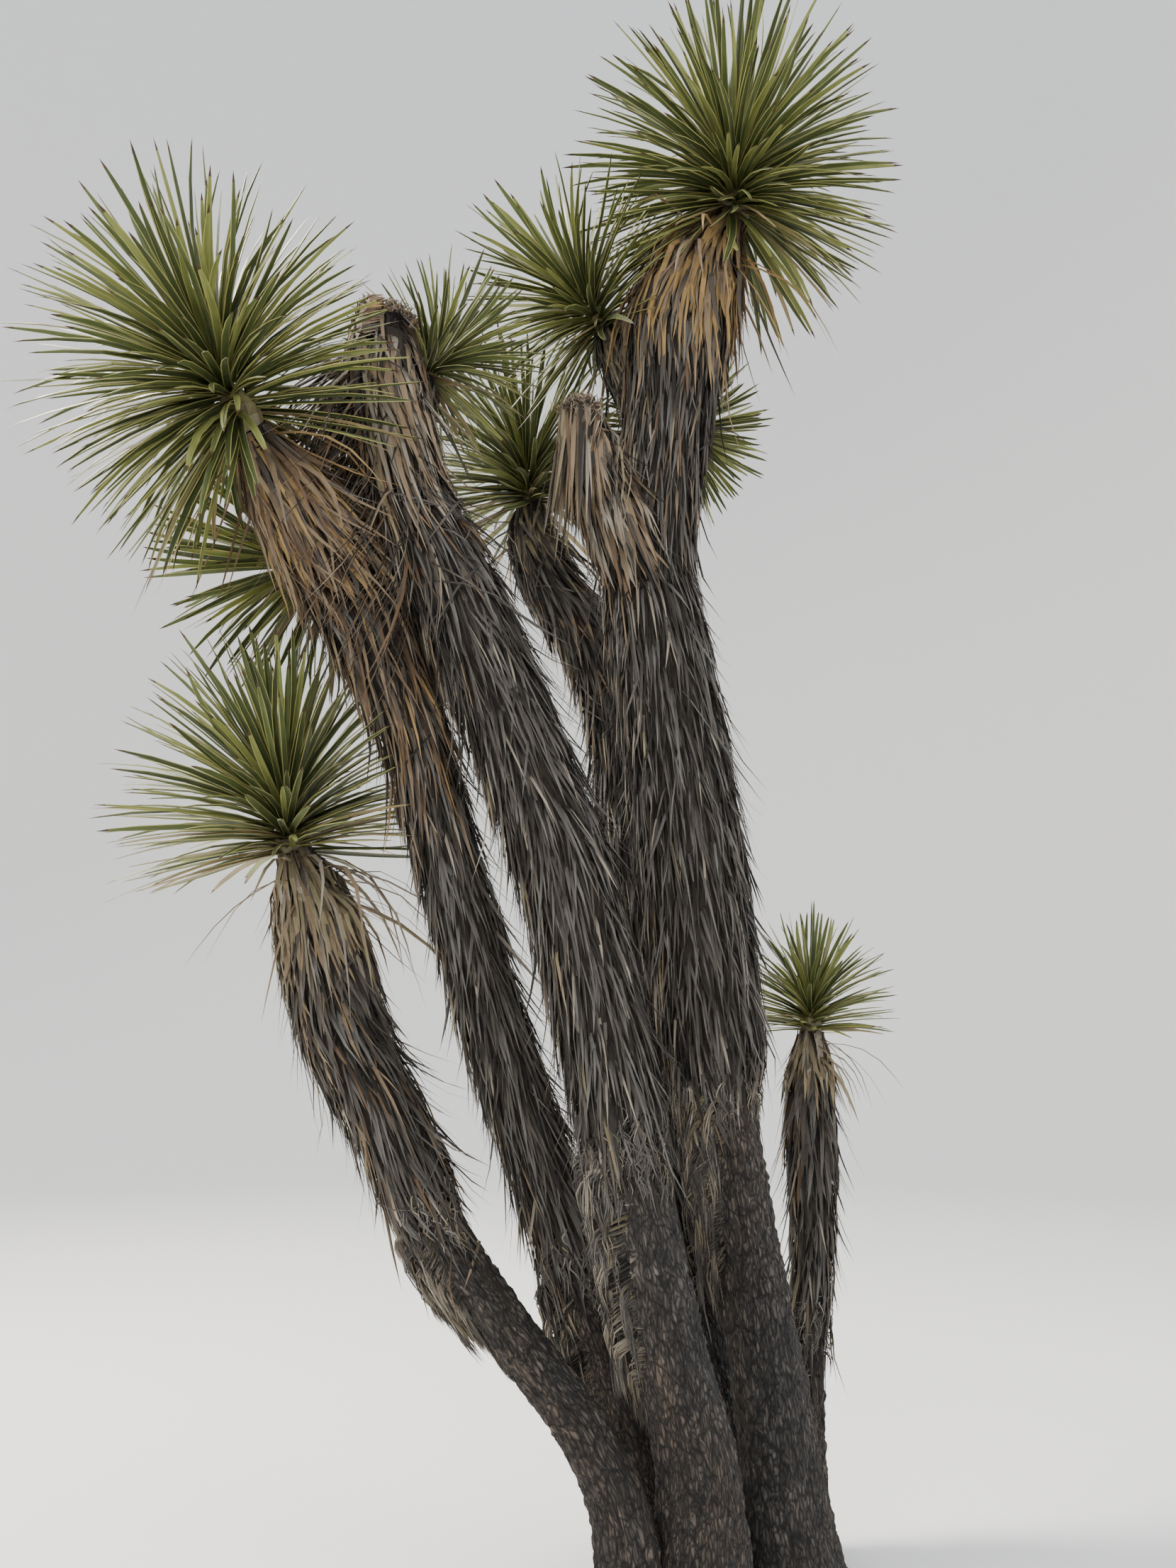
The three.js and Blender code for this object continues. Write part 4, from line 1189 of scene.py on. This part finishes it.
# Pale margins and a dark tip on a living leaf; a faded one has only the tip. The margins are partly the
# leaf's pale edge and partly a painted highlight.
def paintBlade(tones, corner, ring, count):
    slots = np.repeat(tones[:, None], len(corner), axis=1)
    alive = (tones != greenIndex["fadedTan"])[:, None]
    margin = np.isin(corner, (0, 3, 4, 7))[None, :]
    slots = np.where(alive & margin, greenIndex["margin"], slots)
    return np.where((ring == count - 2)[None, :], greenIndex["tip"], slots)


coreTurn = np.linspace(0, 2 * math.pi, 12, endpoint=False)
shapes["dagger"] = {
    "section": np.array([(0.5, 0.02), (0.41, 0.09), (0, 0.0), (-0.41, 0.09), (-0.5, 0.02), (-0.41, -0.05),
                         (0, -0.17), (0.41, -0.05)]),
    "profile": np.array([1.3, 1.0, 1.0, 0.95, 0.78, 0.42, 0]),
    "paint": paintBlade,
    "covered": 0.6,
}
shapes["core"] = {
    "section": np.stack([np.cos(coreTurn), np.sin(coreTurn)], axis=1) * 0.5,
    "profile": np.array([1, 1.15, 1.1, 0.95, 0.7, 0.4, 0]),
    "covered": 0.6,
}


# The limb's end, its direction there and the direction in which its head grows.
def headPlace(limb):
    point, tangent, _, _ = limb["line"].at(np.array([limb["line"].length]))
    return point, tangent, unit(np.array([limb["head"]["aim"]], float))


def headLeaves(limb, random):
    head = limb["head"]
    size, count = head["size"], head["leaves"]
    point, tangent, lean = headPlace(limb)
    coreLength = growth["coreLength"] * size
    coreRadius = max(growth["coreRadius"] * size, limb["bark"][1] * mm * 1.1)
    right, back = squareTo(lean)
    share = (np.arange(count) + 0.5) / count
    lowest = math.radians(head["droop"])
    polar = np.arccos(1 - (1 - math.cos(lowest)) * share)
    polar = polar + random.uniform(-0.07, 0.07, count)
    turn = np.arange(count) * goldenAngle + random.uniform(-0.1, 0.1, count)
    around = right * np.cos(turn)[:, None] + back * np.sin(turn)[:, None]
    direction = lean * np.cos(polar)[:, None] + around * np.sin(polar)[:, None]
    upright = np.clip((np.cos(polar) - math.cos(lowest)) / (1 - math.cos(lowest)), 0, 1)
    rise = mix(bladeSpec["riseLow"], bladeSpec["riseHigh"], upright)
    stemAt = mix(tangent, lean, smooth(rise, 0, 0.5)[:, None])
    spring = (point + stemAt * (coreLength * rise)[:, None]
              + around * (coreRadius * np.sin(polar) * growth["rootDepth"])[:, None])
    reach = mix(growth["sideLeaf"], 1, np.maximum(0, np.cos(polar)))
    length = growth["leafLength"] * size * reach * random.uniform(0.82, 1.04, count)
    t = bladeSpec["places"][None, :, None]
    sag = np.array([0, 0, -1.0]) * (np.sin(polar) ** 2 * bladeSpec["sag"])[:, None]
    sway = unit(random.normal(0, 1, (count, 3))) * random.uniform(0, 0.07, count)[:, None]
    tip = spring + direction * length[:, None] + (sag + sway) * length[:, None]
    root = (point + stemAt * (coreLength * mix(0.05, 1.25, upright))[:, None]
            + around * (coreRadius * np.sin(polar) ** 0.5 * bladeSpec["rootOut"])[:, None])
    start = unit(direction + lean * bladeSpec["turnUp"] + random.normal(0, 0.1, (count, 3)))
    middle = root + start * (length * 0.42)[:, None]
    paths = root[:, None, :] * (1 - t) ** 2 + middle[:, None, :] * (2 * t * (1 - t)) + tip[:, None, :] * t**2
    sides = unit(np.cross(direction, lean) + 1e-6)
    roll = random.normal(0, 0.35, count)[:, None]
    sides = sides * np.cos(roll) + np.cross(direction, sides) * np.sin(roll)
    width = bladeSpec["width"] * math.sqrt(size) * random.uniform(0.82, 1.12, count)
    kept = clearOf(limb, paths, 2 * mm, skip=2) & clearOfOwn(limb, paths)
    if "gap" in head:
        kept &= dot(direction, unit(np.array([head["gap"]])))[:, 0] < 0.78
    tones = bladeTones(random, polar, head["droop"])
    return bladeBatch(random, "dagger", paths, width, tones, sides, kept)


def clearOfOwn(limb, paths):
    flat = paths[:, 3:, :].reshape(-1, 3)
    far, where = limb["line"].nearest(flat)
    inside = (far < limb["line"].girth(where) * 0.9) & (where < limb["line"].length - 25 * mm)
    return ~inside.reshape(len(paths), -1).any(axis=1)


def bladeTones(random, polar, droop):
    count = len(polar)
    pick = random.uniform(0, 1, count)
    low = smooth(polar, math.radians(70), math.radians(droop))
    tones = np.where(pick < 0.38 + 0.2 * low, greenIndex["olive"], greenIndex["green"])
    # A fifth of the leaves, at random, are light green: partly paler leaves, partly painted backlight.
    tones = np.where(pick > 0.8, greenIndex["lightGreen"], tones)
    faded = random.uniform(0, 1, count) < 0.35 * smooth(polar, math.radians(droop - 22), math.radians(droop))
    return np.where(faded, greenIndex["fadedTan"], tones)


# The living stem inside a head, which the leaves hide but for its collar.
def headCore(limb, random):
    point, tangent, lean = headPlace(limb)
    length = growth["coreLength"] * limb["head"]["size"]
    t = np.linspace(0, 1, 7)[None, :, None]
    direction = mix(tangent[:, None, :], lean[:, None, :], smooth(t, 0, 0.5))
    paths = point[:, None, :] + direction * length * t * 0.8
    width = np.array([2 * limb["bark"][1] * mm])
    tones = np.array([greenIndex["pith"]])
    return bladeBatch(random, "core", paths, width, tones, np.array([[1.0, 0.1, 0]]))


def buildHead(name, limb):
    random = np.random.default_rng(limb["seed"] * 131)
    short = name.split("_")[0]
    batches = [headLeaves(limb, random), headCore(limb, random)]
    piece = meshPiece(short + "_dagger_leaves", batches, greenMaterials)
    finishPiece(piece, "green_leaves", short + "_head")
    return len(piece.data.polygons)


for limbName, limb in limbs.items():
    if "head" in limb:
        print("dagger leaves on", limbName, buildHead(limbName, limb), "triangles")


# Camera, floor and light
studio = {
    "floorRadius": 7,
    "coveRadius": 3,
    "wallHeight": 16,
    "floorColor": (0.88, 0.87, 0.85),
    "lights": [  # name, place, size, power, colour
        ("key", (-3.4, 0.6, 5.4), 1.6, 640, (1.0, 0.95, 0.87)),
        ("front", (-1.5, -5.0, 3.2), 3.5, 120, (0.95, 0.97, 1.0)),
        ("right", (4.2, -0.5, 3.0), 3.0, 90, (0.92, 0.95, 1.0)),
    ],
    "worldColor": (0.80, 0.86, 0.95),
    "worldStrength": 1.6,
}


def makeFloor():
    bpy.ops.object.select_all(action="DESELECT")
    bpy.ops.mesh.primitive_circle_add(vertices=96, radius=studio["floorRadius"], fill_type="NGON")
    floor = bpy.context.object
    floor.name = "floor"
    bpy.ops.object.mode_set(mode="EDIT")
    bpy.ops.mesh.select_mode(type="EDGE")
    bpy.ops.mesh.select_all(action="SELECT")
    bpy.ops.mesh.region_to_loop()
    reach, height = studio["floorRadius"], 0
    steps = 10
    for k in range(1, steps + 1):
        turn = k / steps * math.pi / 2
        nextReach = studio["floorRadius"] + studio["coveRadius"] * math.sin(turn)
        nextHeight = studio["coveRadius"] * (1 - math.cos(turn))
        bpy.ops.mesh.extrude_edges_move(TRANSFORM_OT_translate={"value": (0, 0, nextHeight - height)})
        bpy.ops.transform.resize(value=(nextReach / reach, nextReach / reach, 1), center_override=(0, 0, 0))
        reach, height = nextReach, nextHeight
    bpy.ops.mesh.extrude_edges_move(TRANSFORM_OT_translate={"value": (0, 0, studio["wallHeight"])})
    bpy.ops.object.mode_set(mode="OBJECT")
    bpy.ops.object.shade_smooth()
    material, _, _ = newMaterial("floor", studio["floorColor"], 0.9)
    floor.data.materials.append(material)


def makeLights():
    target = Vector((-0.5, -0.1, 1.5))
    for name, place, size, power, color in studio["lights"]:
        data = bpy.data.lights.new(name, "AREA")
        data.shape = "DISK"
        data.size = size
        data.energy = power
        data.color = color
        light = bpy.data.objects.new(name, data)
        light.location = place
        light.rotation_euler = (target - Vector(place)).to_track_quat("-Z", "Y").to_euler()
        bpy.context.scene.collection.objects.link(light)
    world = bpy.data.worlds.new("studio")
    world.use_nodes = True
    background = world.node_tree.nodes["Background"]
    background.inputs["Color"].default_value = (*studio["worldColor"], 1)
    background.inputs["Strength"].default_value = studio["worldStrength"]
    bpy.context.scene.world = world


def makeCamera():
    data = bpy.data.cameras.new("camera")
    data.sensor_width = 36
    data.lens = data.sensor_width / 2 / math.tan(math.radians(view["longSideFov"] / 2))
    camera = bpy.data.objects.new("camera", data)
    camera.location = view["eye"]
    camera.rotation_euler = (math.radians(90 + view["pitch"]), 0, 0)
    bpy.context.scene.collection.objects.link(camera)
    bpy.context.scene.camera = camera


makeFloor()
makeLights()
makeCamera()
print("stage ready")
